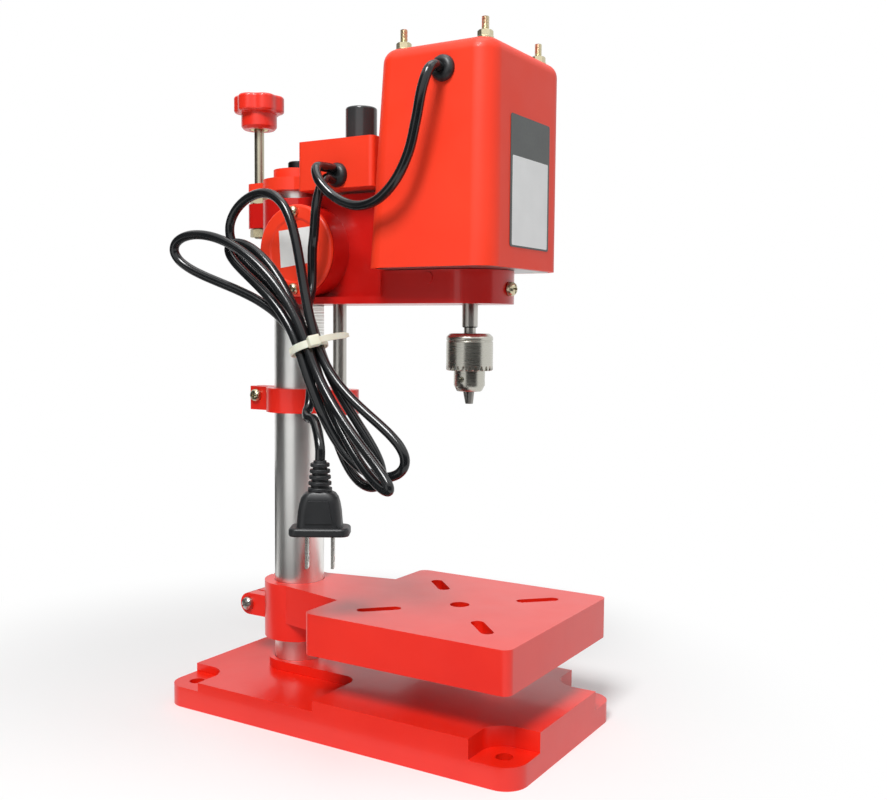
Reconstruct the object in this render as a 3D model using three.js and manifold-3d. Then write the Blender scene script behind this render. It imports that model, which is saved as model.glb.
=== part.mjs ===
// Mini bench drill press: a motor head fed down a toothed column over a slotted table.
// Millimetres, +Z up. The origin is on the column axis, at the plane the base stands on.
// The spindle and the front are towards -Y, and the feed lever is on the +X side.

import * as THREE from 'three';
import { mergeVertices } from 'three/addons/utils/BufferGeometryUtils.js';
import Module from 'manifold-3d';

const wasm = await Module();
wasm.setup();

// Clearances
const seatGap = 0.3;
const overrun = 2;
const facetTolerance = 0.001;

// Base casting
const baseWidth = 123.6;
const baseFront = 182.8;
const baseRear = 52.5;
const baseCorner = 12.7;
const baseRearHeight = 16.9;
const baseFrontHeight = 22.7;
const baseStep = 58.6;
const baseEdge = 1.8;
const footHeight = 11.9;
const footPocket = 13.4;
const footInset = 13.2;
const footHole = 9;
const padRadius = 18.5;
const padFlare = 9;
const baseWall = 5;
const ribWidth = 5;
const socketFloor = 5;
const socketWall = 6;

// Column and its rack
const columnDiameter = 30;
const columnTop = 310.4;
const rackFlat = 13;
const rackModule = 0.65;
const rackTeethBelow = 33;
const rackTeethAbove = 6;
const rackBacklash = 0.24;
const tapDepth = 20;

// Bracket and speed control box on the column top
const bracketRadius = 21.4;
const bracketBottom = 304.7;
const bracketTop = 312.1;
const capRadius = 15.1;
const capTop = 318.2;
const boltHead = 13;
const boltHeadHeight = 5;
const boltShank = 8;
const boltKey = 6;
const boltKeyDepth = 3;
const boxHalfWidth = 30;
const boxRear = 23;
const boxFront = 75;
const boxBottom = 301.6;
const boxTop = 328.8;
const boxCorner = 3;
const boxEdge = 1.2;
const boxWall = 2.6;
const boxLip = 1.3;
const boxFloor = 2;
const bridgeHalfWidth = 18;
const stopEarTop = 312;
const stopEarThickness = 5;
const speedKnobY = 46;
const speedKnobRadius = 9.1;
const speedKnobBottom = 330.3;
const speedKnobTop = 351;
const speedKnobEdge = 1.6;
const speedKnobRecess = 6.5;
const speedKnobRecessDepth = 3;
const speedShaft = 5;
const speedShaftTop = 344;
const regulatorRadius = 8;
const regulatorBush = 9;
const boardThickness = 1.6;
const boardHalfWidth = 21;
const boardRear = 30;
const boardFront = 68;
const boardStandoff = 2.4;
const standoffRadius = 2;
const sinkWidth = 14;
const sinkDepth = 8;
const sinkHeight = 9;
const controlGlandY = 51.5;
const controlGlandZ = 308.7;

// Rubber glands
const glandRadius = 6.7;
const glandNeck = 5.7;
const glandStand = 3.4;
const glandFlange = 1.4;

// Mid clamp and guide rod
const midClampBottom = 173.5;
const midClampTop = 188;
const midClampRadius = 20;
const guideRodY = 30.7;
const guideRodDiameter = 8;
const guideRodBottom = 171.5;
const guideRodTop = 250;
const guideBossRadius = 9;
const guideBossReach = 42.6;
const clampSlot = 2;
const midEarHalf = 6.2;
const midEarReach = 35;
const midScrewY = 28.6;
const midScrewZ = 182.5;
const smallScrew = 4;
const smallScrewHead = 7.6;
const smallScrewHeadHeight = 3.2;

// Drilling head
const headBottom = 238;
const headHeight = 61.8;
const headTop = headBottom + headHeight;
const headCollar = 21.5;
const headWebHalf = 17;
const headFlangeHalf = 24;
const headFlangeThickness = 4;
const headFlangeTop = headBottom + headFlangeThickness;
const headFlangeRear = 12;
const noseHeight = 18;
const noseTop = headBottom + noseHeight;
const noseRear = 73.5;
const noseCorner = 6;
const headEdge = 1.2;
const spindleY = 119.5;
const webFront = 75.6;
const feedRise = 30;
const feedZ = headBottom + feedRise;
const drumRadius = 26;
const drumFace = 31;
const potRadius = 18.6;
const potFloor = 21;
const potScrewCircle = 21.6;
const potCoverThickness = 2.7;
const potCoverRim = 17.4;
const potCoverRecess = 0.9;
const leverBossRadius = 17;
const leverBossFace = 27;
const stopRodY = 31.2;
const stopRodDiameter = 6;
const stopRodBottom = 279;
const stopRodTop = 357;
const stopEarRadius = 6.6;
const headEarBottom = 285;
const nutFlats = 10;
const nutHeight = 5;
const noseScrewRise = 8;
const noseScrewZ = headBottom + noseScrewRise;
const noseBossY = 107;
const noseBossRadius = 3.2;
const noseBossStand = 0.6;

// Feed pinion, bushes and lever
const pinionTeeth = 36;
const pinionHalfWidth = 9;
const pinionBoreGap = 0.45;
const bushFlangeRadius = 16;
const bushFlange = 2;
const journalRadius = 8;
const leftBushLength = 10.4;
const arborRadius = 7;
const arborEnd = 30.4;
const springInner = 8;
const springOuter = 17.6;
const springThickness = 0.7;
const springWidth = 7;
const springTurns = 3.5;
const hubSeatRadius = 6;
const hubRadius = 11;
const hubNeck = 9;
const hubStart = 46;
const hubLength = 16;
const hubEdge = 1.5;
const leverRodRadius = 4;
const leverReach = 76;
const leverLean = 0.6;
const leverSocket = 4;
const gripRadius = 9;
const gripLength = 26;

// Spindle, chuck and motor
const spindleNeckRadius = 3.3;
const spindleStand = 12.7;
const spindleStep = headBottom - spindleStand;
const spindleRadius = 4.3;
const spindleNoseRadius = 3.3;
const spindleNoseLength = 11.3;
const spindleNoseBottom = spindleStep - spindleNoseLength;
const bearingSeatRadius = 3.7;
const lowerBearingRadius = 11;
const lowerBearingHeight = 7;
const lowerBearingSink = 9;
const lowerBearingBottom = noseTop - lowerBearingSink;
const upperBearingRadius = 9.5;
const upperBearingHeight = 6;
const upperSeatRadius = 2.8;
const noseBoreRadius = 6;
const plateThickness = 4;
const coverHalfWidth = 42.4;
const coverRear = 76.9;
const coverFront = 154;
const coverSeat = 0.4;
const coverHeadroom = 12.8;
const coverCorner = 12;
const coverEdge = 7;
const coverWall = 2.5;
const coverLean = 8.8;
const coverGlandY = 127;
const coverGlandDrop = 14.8;
const studX = 30;
const studPitchY = 24.5;
const studRadius = 2;
const studStand = 11.2;
const studNutFlats = 7;
const studNutHeight = 3.2;
const studWasherRadius = 4.5;
const studWasher = 0.9;
const statorHalfWidth = 34;
const statorHalfDepth = 30.5;
const statorCorner = 6;
const statorStand = 28;
const statorHeight = 36;
const statorBore = 20.6;
const armatureRadius = 19.8;
const commutatorRadius = 10.5;
const commutatorStand = 7;
const commutatorLength = 14;
const fanRadius = 25;
const fanHub = 8;
const fanStand = 8;
const fanHeight = 11;
const fanDisc = 1.6;
const fanBlades = 6;
const fanBladeThickness = 1.6;
const endBellThickness = 4.5;
const endBellHub = 13;
const brushWidth = 8;
const brushHeight = 9;
const brushOuter = 27;
const upperBearingStand = 8;
const spindleEnd = 2;

// Heights of the motor stack, each worked out from the piece below it
const fanBottom = noseTop + fanStand;
const fanTop = fanBottom + fanHeight;
const statorBottom = noseTop + statorStand;
const statorTop = statorBottom + statorHeight;
const commutatorBottom = statorTop + commutatorStand;
const commutatorTop = commutatorBottom + commutatorLength;
const upperBearingBottom = commutatorTop + upperBearingStand;
const spindleTop = upperBearingBottom + upperBearingHeight + spindleEnd;
const coverBottom = noseTop + coverSeat;
const coverTop = spindleTop + coverHeadroom;
const coverGlandZ = coverTop - coverGlandDrop;
const studTop = coverTop + studStand;

// Chuck
const sleeveRadius = 12.85;
const sleeveDrop = 3.3;
const sleeveLength = 20.3;
const sleeveTop = spindleStep - sleeveDrop;
const sleeveBottom = sleeveTop - sleeveLength;
const sleeveBevel = 2.4;
const sleeveBore = 10.3;
const sleeveTeeth = 24;
const sleeveToothDepth = 1.5;
const chuckRadius = 8.6;
const chuckShoulder = 9.9;
const chuckSink = 0.6;
const chuckLength = 31.1;
const chuckTop = sleeveTop - chuckSink;
const chuckBottom = chuckTop - chuckLength;
const chuckEdge = 1.6;
const chuckMouth = 3.6;
const keyHoleRadius = 1.6;
const keyHoleRise = 6.7;
const keyHoleZ = chuckBottom + keyHoleRise;
const keyHoleDepth = 3.5;
const jawCount = 3;
const jawRadius = 2.1;
const jawAngle = 0.19;
const jawStand = 6.9;
const jawRoom = 12.4;
const jawTip = chuckBottom - jawStand;
const jawTop = chuckTop - jawRoom;
const jawTravel = 5;

// Depth knob
const knobBottom = 345.2;
const knobHubRadius = 10.8;
const knobHubTop = 355;
const knobTop = 365.5;
const knobRadius = 15.3;
const knobLobes = 6;
const knobLobeDepth = 1.7;
const knobEdge = 1.8;
const knobInsertRadius = 5.5;
const knobInsertLength = 10;
const knobInsertBore = 3.3;

// Table
const tableHalfWidth = 61.15;
const tableRear = 51.5;
const tableFront = 177.9;
const tableBottom = 47.2;
const tableTop = 70.1;
const tableCorner = 5;
const tableEdge = 1.6;
const tableWall = 5.5;
const tableSkin = 7;
const tableCollar = 21.2;
const tableCollarBottom = 36;
const tableArmHalf = 30;
const tableSlotWidth = 7;
const tableSlotLength = 25;
const tableSlotCircle = 46;
const tableHole = 11;
const tableEarHalf = 9;
const tableEarBottom = 44.5;
const tableEarTop = 58;
const tableEarReach = 40;
const tableBoltY = 33.4;
const tableBoltZ = 51.5;
const tableBoltRadius = 2.5;
const tableBoltDome = 4;
const tableBoltDomeHeight = 3.4;
const tableNutFlats = 8;
const tableNutHeight = 4;

// Cables and cord
const leadDiameter = 5.3;
const cordDiameter = 5.2;
const waistPitch = 5.85;
const tieThickness = 1;
const tieWidth = 4;
const tieHead = 6;
const tieHeadStand = 4.4;
const tieTurn = 4.07;

// Plug
const plugTurn = 1.026;
const reliefTop = 157.2;
const reliefBottom = 141.6;
const reliefTopRadius = 4.6;
const reliefRadius = 6.2;
const reliefRibs = 5;
const reliefGroove = 1.1;
const plugHalfWidth = 10.9;
const plugHalfThickness = 7.2;
const plugTop = 141.6;
const plugFlangeTop = 123.6;
const plugFlangeHalfWidth = 15.4;
const plugFlangeHalfThickness = 8.6;
const plugBottom = 119.2;
const plugPanel = 7;
const plugPanelStand = 0.7;
const bladeHalfPitch = 6.6;
const bladeWidth = 6.3;
const bladeThickness = 1.5;
const bladeLength = 17.2;
const bladeSocket = 6;

// Sizes worked out from those above
const columnRadius = columnDiameter / 2;
const columnBore = columnRadius + seatGap;
const baseHalf = baseWidth / 2;
const rackPitch = Math.PI * rackModule;
const pinionRadius = (pinionTeeth * rackModule) / 2;
const feedY = rackFlat - rackModule + pinionRadius;
const pinionTip = pinionRadius + rackModule;
const crossBore = pinionTip + pinionBoreGap;
const guideRadius = guideRodDiameter / 2;
const stopRadius = stopRodDiameter / 2;
const cordRadius = cordDiameter / 2;
const leadRadius = leadDiameter / 2;

// Colours and finishes
function material(color, roughness, metalness) {
  return new THREE.MeshStandardMaterial({ color, roughness, metalness });
}
const redCasting = material(0xd3200f, 0.3, 0);
const redCover = material(0xe8371b, 0.42, 0);
const redPlastic = material(0xc8201a, 0.4, 0);
const steel = material(0xb4b2ae, 0.28, 1);
const zinc = material(0xb9a566, 0.35, 1);
const blackSteel = material(0x1c1c1e, 0.45, 0.7);
const brass = material(0xb08d3c, 0.35, 1);
const bronze = material(0x9a7440, 0.4, 1);
const copper = material(0xa65a32, 0.4, 1);
const aluminium = material(0xa9abad, 0.4, 1);
const blackPlastic = material(0x141416, 0.35, 0);
const rubber = material(0x202225, 0.6, 0);
const nylon = material(0xe9e7dc, 0.5, 0);
const board = material(0x2f6b3c, 0.6, 0);

// Joining and cutting of closed meshes
function solid(geometry) {
  const bare = geometry.clone();
  bare.deleteAttribute('normal');
  bare.deleteAttribute('uv');
  const merged = mergeVertices(bare);
  const points = merged.attributes.position.array;
  const corner = merged.index.array;
  const faces = [];
  for (let i = 0; i < corner.length; i += 3) {
    const [a, b, c] = [corner[i], corner[i + 1], corner[i + 2]];
    if (a !== b && b !== c && c !== a) faces.push(a, b, c);
  }
  const at = (k) => new THREE.Vector3().fromArray(points, k * 3);
  let volume = 0;
  for (let i = 0; i < faces.length; i += 3) {
    volume += at(faces[i]).dot(at(faces[i + 1]).cross(at(faces[i + 2])));
  }
  if (volume < 0) faces.reverse();
  return new wasm.Manifold(
    new wasm.Mesh({ numProp: 3, vertProperties: new Float32Array(points), triVerts: new Uint32Array(faces) }),
  );
}

function geometryOf(body) {
  const mesh = body.simplify(facetTolerance).getMesh();
  const geometry = new THREE.BufferGeometry();
  geometry.setAttribute('position', new THREE.BufferAttribute(new Float32Array(mesh.vertProperties), 3));
  geometry.setIndex(new THREE.BufferAttribute(new Uint32Array(mesh.triVerts), 1));
  return geometry;
}

function join(...pieces) {
  return geometryOf(pieces.map(solid).reduce((whole, piece) => whole.add(piece)));
}

function cut(body, ...tools) {
  return geometryOf(tools.map(solid).reduce((rest, tool) => rest.subtract(tool), solid(body)));
}

function common(body, tool) {
  return geometryOf(solid(body).intersect(solid(tool)));
}

// Outlines in the plan view
function roundedRect(left, right, front, rear, radius) {
  const shape = new THREE.Shape();
  shape.absarc(right - radius, rear - radius, radius, 0, Math.PI / 2);
  shape.absarc(left + radius, rear - radius, radius, Math.PI / 2, Math.PI);
  shape.absarc(left + radius, front + radius, radius, Math.PI, 1.5 * Math.PI);
  shape.absarc(right - radius, front + radius, radius, 1.5 * Math.PI, 2 * Math.PI);
  shape.closePath();
  return shape;
}

// A straight tongue from one y to another, with a round far end
function tongue(half, root, end) {
  const toward = Math.sign(end - root);
  const start = toward > 0 ? 0 : Math.PI;
  const shape = new THREE.Shape();
  shape.moveTo(half * toward, root);
  shape.absarc(0, end - half * toward, half, start, start + Math.PI);
  shape.lineTo(-half * toward, root);
  shape.closePath();
  return shape;
}

function disc(radius, x = 0, y = 0) {
  const shape = new THREE.Shape();
  shape.absarc(x, y, radius, 0, 2 * Math.PI);
  return shape;
}

function polygon(points) {
  return new THREE.Shape(points.map(([x, y]) => new THREE.Vector2(x, y)));
}

// Upright pieces between two heights
function slab(shape, bottom, top, curve = 4) {
  const geometry = new THREE.ExtrudeGeometry(shape, {
    depth: top - bottom, bevelEnabled: false, curveSegments: curve,
  });
  return geometry.translate(0, 0, bottom);
}

// A slab whose upper edge is rounded, and the lower one too where bothEnds is set
function softSlab(shape, bottom, top, edge, curve = 4, steps = 1, bothEnds = false) {
  const start = bothEnds ? bottom : bottom - edge;
  const geometry = new THREE.ExtrudeGeometry(shape, {
    depth: top - start - 2 * edge,
    bevelEnabled: true,
    bevelThickness: edge,
    bevelSize: edge,
    bevelOffset: -edge,
    bevelSegments: steps,
    curveSegments: curve,
  }).translate(0, 0, start + edge);
  if (bothEnds) return geometry;
  geometry.computeBoundingBox();
  const { min, max } = geometry.boundingBox;
  const above = roundedRect(min.x - edge, max.x + edge, min.y - edge, max.y + edge, edge);
  return common(geometry, slab(above, bottom, top + edge, 1));
}

function cylinder(radius, bottom, top, sides, x = 0, y = 0) {
  const geometry = new THREE.CylinderGeometry(radius, radius, top - bottom, sides);
  return geometry.rotateX(Math.PI / 2).translate(x, y, (top + bottom) / 2);
}

function block(left, right, front, rear, bottom, top) {
  const geometry = new THREE.BoxGeometry(right - left, rear - front, top - bottom);
  return geometry.translate((left + right) / 2, (front + rear) / 2, (bottom + top) / 2);
}

// A turned piece about the upright axis, from [radius, height] pairs that start and end on the axis
function turned(profile, sides, x = 0, y = 0) {
  const points = profile.map(([radius, height]) => new THREE.Vector2(radius, height));
  return new THREE.LatheGeometry(points, sides).rotateX(Math.PI / 2).translate(x, y, 0);
}

function ring(inner, outer, bottom, top, sides, x = 0, y = 0) {
  const profile = [[inner, bottom], [outer, bottom], [outer, top], [inner, top], [inner, bottom]];
  return turned(profile, sides, x, y);
}

// Upright pieces laid along another axis: local heights become distances along +X or -Y
function alongX(geometry, y, z) {
  return geometry.rotateY(Math.PI / 2).translate(0, y, z);
}

function alongFront(geometry, x, z) {
  return geometry.rotateX(Math.PI / 2).translate(x, 0, z);
}

function hexagon(flats, bottom, top, x = 0, y = 0) {
  return cylinder(flats / Math.sqrt(3), bottom, top, 6, x, y);
}

// A round-headed screw along the upright axis: shank below the seat, domed head above it
function panScrew(shankRadius, shankLength, headRadius, headHeight) {
  return turned(
    [
      [0, -shankLength], [shankRadius, -shankLength], [shankRadius, 0], [headRadius, 0],
      [headRadius, headHeight * 0.45], [headRadius * 0.72, headHeight * 0.88], [0, headHeight],
    ],
    10,
  );
}

// Tube of a round section along a path, its end faces square to the path
function tube(path, radius, sides, steps) {
  return new THREE.ExtrudeGeometry(ngon(radius, sides), {
    steps, extrudePath: path, bevelEnabled: false,
  });
}

function ngon(radius, sides) {
  const corners = [];
  for (let i = 0; i < sides; i += 1) {
    const angle = (2 * Math.PI * i) / sides;
    corners.push([radius * Math.cos(angle), radius * Math.sin(angle)]);
  }
  return polygon(corners);
}

const model = new THREE.Group();

function add(name, geometry, finish) {
  const mesh = new THREE.Mesh(geometry, finish);
  mesh.name = name;
  model.add(mesh);
}

// Base: a hollow casting with lowered corner feet, a raised front and a pad round the column
function footCentres() {
  const x = baseHalf - footInset;
  const rear = baseRear - footInset;
  const front = footInset - baseFront;
  return [[-x, rear], [x, rear], [-x, front], [x, front]];
}

function footPocketTool([x, y]) {
  const outX = x < 0 ? -baseHalf - overrun : baseHalf + overrun;
  const outY = y < 0 ? -baseFront - overrun : baseRear + overrun;
  const span = (a, b) => [Math.min(a, b), Math.max(a, b)];
  const inX = x - Math.sign(x) * footPocket;
  const inY = y - Math.sign(y) * footPocket;
  const top = baseFrontHeight + overrun;
  return join(
    cylinder(footPocket, footHeight, top, 16, x, y),
    block(...span(inX, outX), ...span(y, outY), footHeight, top),
    block(...span(x, outX), ...span(inY, outY), footHeight, top),
  );
}

function padOutline() {
  const shape = new THREE.Shape();
  const step = -baseStep - padFlare;
  const flareY = padFlare - baseStep;
  shape.absarc(0, 0, padRadius, 0, Math.PI);
  shape.absarc(-padRadius - padFlare, flareY, padFlare, 0, -Math.PI / 2, true);
  shape.lineTo(-padRadius - padFlare, step);
  shape.lineTo(padRadius + padFlare, step);
  shape.absarc(padRadius + padFlare, flareY, padFlare, -Math.PI / 2, -Math.PI, true);
  shape.closePath();
  return shape;
}

function baseCasting() {
  const outline = roundedRect(-baseHalf, baseHalf, -baseFront, baseRear, baseCorner);
  const raised = roundedRect(-baseHalf, baseHalf, -baseFront, -baseStep, baseCorner);
  const squareStep = block(
    -baseHalf, baseHalf, -baseStep - baseCorner, -baseStep, baseRearHeight - overrun, baseFrontHeight - baseEdge,
  );
  const feet = footCentres();
  const body = join(
    softSlab(outline, 0, baseRearHeight, baseEdge),
    softSlab(raised, 0, baseFrontHeight, baseEdge),
    squareStep,
    softSlab(padOutline(), baseRearHeight - overrun, baseFrontHeight, baseEdge, 5),
  );
  const shell = cut(
    body,
    ...feet.map(footPocketTool),
    ...feet.map(([x, y]) => cylinder(footHole / 2, -overrun, footHeight + overrun, 12, x, y)),
    cylinder(columnBore, socketFloor, baseFrontHeight + overrun, 28),
  );
  const inner = baseHalf - baseWall;
  const hollow = join(
    slab(
      roundedRect(-inner, inner, baseWall - baseFront, baseRear - baseWall, baseCorner - baseWall),
      -overrun, footHeight - baseWall, 2,
    ),
    block(-inner, inner, -baseStep - footPocket, baseRear - footInset * 2 - baseWall, -overrun, baseRearHeight - baseWall),
    block(
      -inner + footInset * 2, inner - footInset * 2, baseWall - baseFront, -baseStep - baseWall,
      -overrun, baseFrontHeight - baseWall,
    ),
  );
  const kept = join(
    cylinder(padRadius + socketWall, -overrun * 2, baseRearHeight, 16),
    ...feet.map(([x, y]) => cylinder(footHole / 2 + baseWall, -overrun * 2, baseRearHeight, 12, x, y)),
    block(-ribWidth / 2, ribWidth / 2, -baseFront, baseRear, -overrun * 2, baseFrontHeight),
    block(-baseHalf, baseHalf, -baseStep - ribWidth, -baseStep, -overrun * 2, baseFrontHeight),
  );
  return cut(shell, cut(hollow, kept));
}

// Column: a solid bar with rack teeth milled into its front and a tapped hole in its top
function rackTool() {
  const tip = rackFlat;
  const root = rackFlat - 2.25 * rackModule;
  const slope = Math.tan(Math.PI / 9);
  const half = rackPitch / 4 - rackBacklash / 2;
  const tipHalf = half - rackModule * slope;
  const rootHalf = half + 1.25 * rackModule * slope;
  const far = columnRadius + overrun;
  const low = feedZ - rackTeethBelow * rackPitch - rackPitch / 2;
  const high = feedZ + rackTeethAbove * rackPitch + rackPitch / 2;
  const outline = [[high, far], [low, far], [low, root]];
  for (let k = -rackTeethBelow; k <= rackTeethAbove; k += 1) {
    const middle = feedZ + k * rackPitch;
    outline.push([middle - rootHalf, root], [middle - tipHalf, tip]);
    outline.push([middle + tipHalf, tip], [middle + rootHalf, root]);
  }
  outline.push([high, root]);
  const tool = slab(polygon(outline), -columnRadius, columnRadius);
  const toWorld = new THREE.Matrix4().makeBasis(
    new THREE.Vector3(0, 0, 1), new THREE.Vector3(0, -1, 0), new THREE.Vector3(1, 0, 0),
  );
  return tool.applyMatrix4(toWorld);
}

function columnBar() {
  const bottom = socketFloor + seatGap;
  return cut(
    cylinder(columnRadius, bottom, columnTop, 32),
    rackTool(),
    cylinder(boltShank / 2 + seatGap, columnTop - tapDepth, columnTop + overrun, 12),
  );
}

// Bracket with the control box: one casting on the column top
function controlBox() {
  const outline = roundedRect(-boxHalfWidth, boxHalfWidth, -boxFront, -boxRear, boxCorner);
  const inset = (wall) => roundedRect(
    wall - boxHalfWidth, boxHalfWidth - wall, wall - boxFront, -boxRear - wall, boxCorner - wall / 2,
  );
  const ledge = boxBottom + boxFloor + seatGap;
  const ear = -stopEarThickness + stopEarTop;
  const body = join(
    softSlab(outline, boxBottom, boxTop, boxEdge, 2),
    cylinder(bracketRadius, bracketBottom, bracketTop, 28),
    block(-bridgeHalfWidth, bridgeHalfWidth, -boxRear - boxWall / 2, 0, bracketBottom, bracketTop),
    softSlab(disc(capRadius), bracketTop - overrun, capTop, boxEdge, 12),
    cylinder(stopEarRadius, ear, stopEarTop, 14, 0, stopRodY),
    block(-stopEarRadius, stopEarRadius, capRadius, stopRodY, ear, stopEarTop),
  );
  const wall = boxHalfWidth + overrun;
  return cut(
    body,
    slab(inset(boxWall), ledge, boxTop - boxWall, 2),
    slab(inset(boxLip), boxBottom - overrun, ledge, 2),
    cylinder(columnBore, bracketBottom - overrun, columnTop + seatGap, 28),
    cylinder(boltShank / 2 + seatGap, columnTop, capTop + overrun, 12),
    cylinder(stopRadius + seatGap, ear - overrun, stopEarTop + overrun, 12, 0, stopRodY),
    cylinder(regulatorBush / 2 + seatGap, boxTop - boxWall - overrun, boxTop + overrun, 12, 0, -speedKnobY),
    alongX(cylinder(glandNeck + seatGap, -wall, boxWall - boxHalfWidth + overrun, 16), -controlGlandY, controlGlandZ),
  );
}

// Lid of the box from below, notched round the gland, with the board's standoffs
function boxFloorPlate() {
  const edge = boxLip + seatGap;
  const outline = roundedRect(
    edge - boxHalfWidth, boxHalfWidth - edge, edge - boxFront, -boxRear - edge, boxCorner - boxLip / 2,
  );
  const top = boxBottom + boxFloor;
  const spots = [[-1, boardRear + standoffRadius], [1, boardRear + standoffRadius]];
  spots.push([-1, boardFront - standoffRadius], [1, boardFront - standoffRadius]);
  const across = boardHalfWidth - standoffRadius;
  return cut(
    join(
      slab(outline, boxBottom, top, 2),
      ...spots.map(([side, y]) => cylinder(standoffRadius, boxBottom, top + boardStandoff, 8, side * across, -y)),
    ),
    alongX(cylinder(glandRadius + seatGap, -boxHalfWidth, -boxHalfWidth + glandRadius, 16), -controlGlandY, controlGlandZ),
  );
}

// Speed regulator: the board with its heat sink, and the potentiometer whose bush passes the box top
function speedRegulator() {
  const bottom = boxBottom + boxFloor + boardStandoff + seatGap;
  const top = bottom + boardThickness;
  const seat = boxTop - boxWall - seatGap;
  const profile = [
    [0, bottom], [regulatorRadius, bottom], [regulatorRadius, seat], [regulatorBush / 2, seat],
    [regulatorBush / 2, speedKnobBottom], [0, speedKnobBottom],
  ];
  const sinkRear = sinkDepth - boardFront;
  return cut(
    join(
      block(-boardHalfWidth, boardHalfWidth, -boardFront, -boardRear, bottom, top),
      block(sinkDepth / 2, sinkDepth * 1.5, sinkRear, sinkRear + sinkWidth, bottom, top + sinkHeight),
      turned(profile, 20, 0, -speedKnobY),
    ),
    cylinder(speedShaft / 2 + seatGap, top + seatGap, speedKnobBottom + overrun, 12, 0, -speedKnobY),
  );
}

function speedShaftBar() {
  const bottom = boxBottom + boxFloor + boardStandoff + boardThickness + seatGap * 3;
  return cylinder(speedShaft / 2, bottom, speedShaftTop, 12, 0, -speedKnobY);
}

function speedKnob() {
  const bore = speedShaft / 2 + seatGap;
  const recess = speedKnobBottom + speedKnobRecessDepth;
  const profile = [
    [bore, recess], [speedKnobRecess, recess], [speedKnobRecess, speedKnobBottom],
    [speedKnobRadius, speedKnobBottom], [speedKnobRadius, speedKnobTop - speedKnobEdge],
    [speedKnobRadius - speedKnobEdge * 0.4, speedKnobTop - speedKnobEdge * 0.3],
    [speedKnobRadius - speedKnobEdge, speedKnobTop], [0, speedKnobTop],
    [0, speedShaftTop + seatGap], [bore, speedShaftTop + seatGap], [bore, recess],
  ];
  return turned(profile, 18, 0, -speedKnobY);
}

// Black bolt that holds the bracket down on the column
function bracketBolt() {
  const seat = capTop + seatGap;
  const head = boltHead / 2;
  const soft = boltHeadHeight * 0.16;
  const profile = [
    [0, columnTop - tapDepth + seatGap], [boltShank / 2, columnTop - tapDepth + seatGap], [boltShank / 2, seat],
    [head, seat], [head, seat + boltHeadHeight - soft], [head - soft, seat + boltHeadHeight],
    [0, seat + boltHeadHeight],
  ];
  const top = seat + boltHeadHeight;
  return cut(turned(profile, 18), hexagon(boltKey, top - boltKeyDepth, top + overrun));
}

// Rubber gland in a wall along X: neck through the wall, flange inside, domed flange outside
function gland(wallOutside, wall, y, z) {
  const outer = -wallOutside - seatGap;
  const inner = wall - wallOutside + seatGap;
  const profile = [
    [0, outer - glandStand], [glandNeck * 0.8, outer - glandStand], [glandRadius * 0.97, outer - glandStand * 0.55],
    [glandRadius, outer], [glandNeck, outer], [glandNeck, inner], [glandRadius, inner],
    [glandRadius, inner + glandFlange], [0, inner + glandFlange],
  ];
  return alongX(turned(profile, 12), y, z);
}

// Mid clamp: a split strap on the column whose front boss steadies the guide rod
function midClamp() {
  const body = join(
    softSlab(disc(midClampRadius), midClampBottom, midClampTop, headEdge, 12),
    softSlab(tongue(guideBossRadius, 0, -guideBossReach), midClampBottom, midClampTop, headEdge, 5),
    softSlab(
      roundedRect(-midEarHalf, midEarHalf, 0, midEarReach, headEdge * 2), midClampBottom, midClampTop, headEdge, 1,
    ),
  );
  return cut(
    body,
    cylinder(columnBore, midClampBottom - overrun, midClampTop + overrun, 28),
    cylinder(guideRadius + seatGap, midClampBottom - overrun, midClampTop + overrun, 12, 0, -guideRodY),
    block(-clampSlot / 2, clampSlot / 2, 0, midEarReach + overrun, midClampBottom - overrun, midClampTop + overrun),
    alongX(cylinder(smallScrew / 2 + seatGap, -midEarHalf - overrun, midEarHalf + overrun, 12), midScrewY, midScrewZ),
  );
}

function midClampScrew() {
  const length = midEarHalf * 2 + seatGap;
  const screw = panScrew(smallScrew / 2, length, smallScrewHead / 2, smallScrewHeadHeight);
  screw.rotateY(Math.PI).translate(0, 0, -midEarHalf - seatGap);
  return alongX(screw, midScrewY, midScrewZ);
}

// Drilling head: collar on the column, side drum, web, nose block and the stop rod's ear
function noseOutline() {
  const shape = new THREE.Shape();
  shape.absarc(0, -spindleY, headFlangeHalf, Math.PI, 2 * Math.PI);
  shape.absarc(headFlangeHalf - noseCorner, -noseRear - noseCorner, noseCorner, 0, Math.PI / 2);
  shape.absarc(noseCorner - headFlangeHalf, -noseRear - noseCorner, noseCorner, Math.PI / 2, Math.PI);
  shape.closePath();
  return shape;
}

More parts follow.
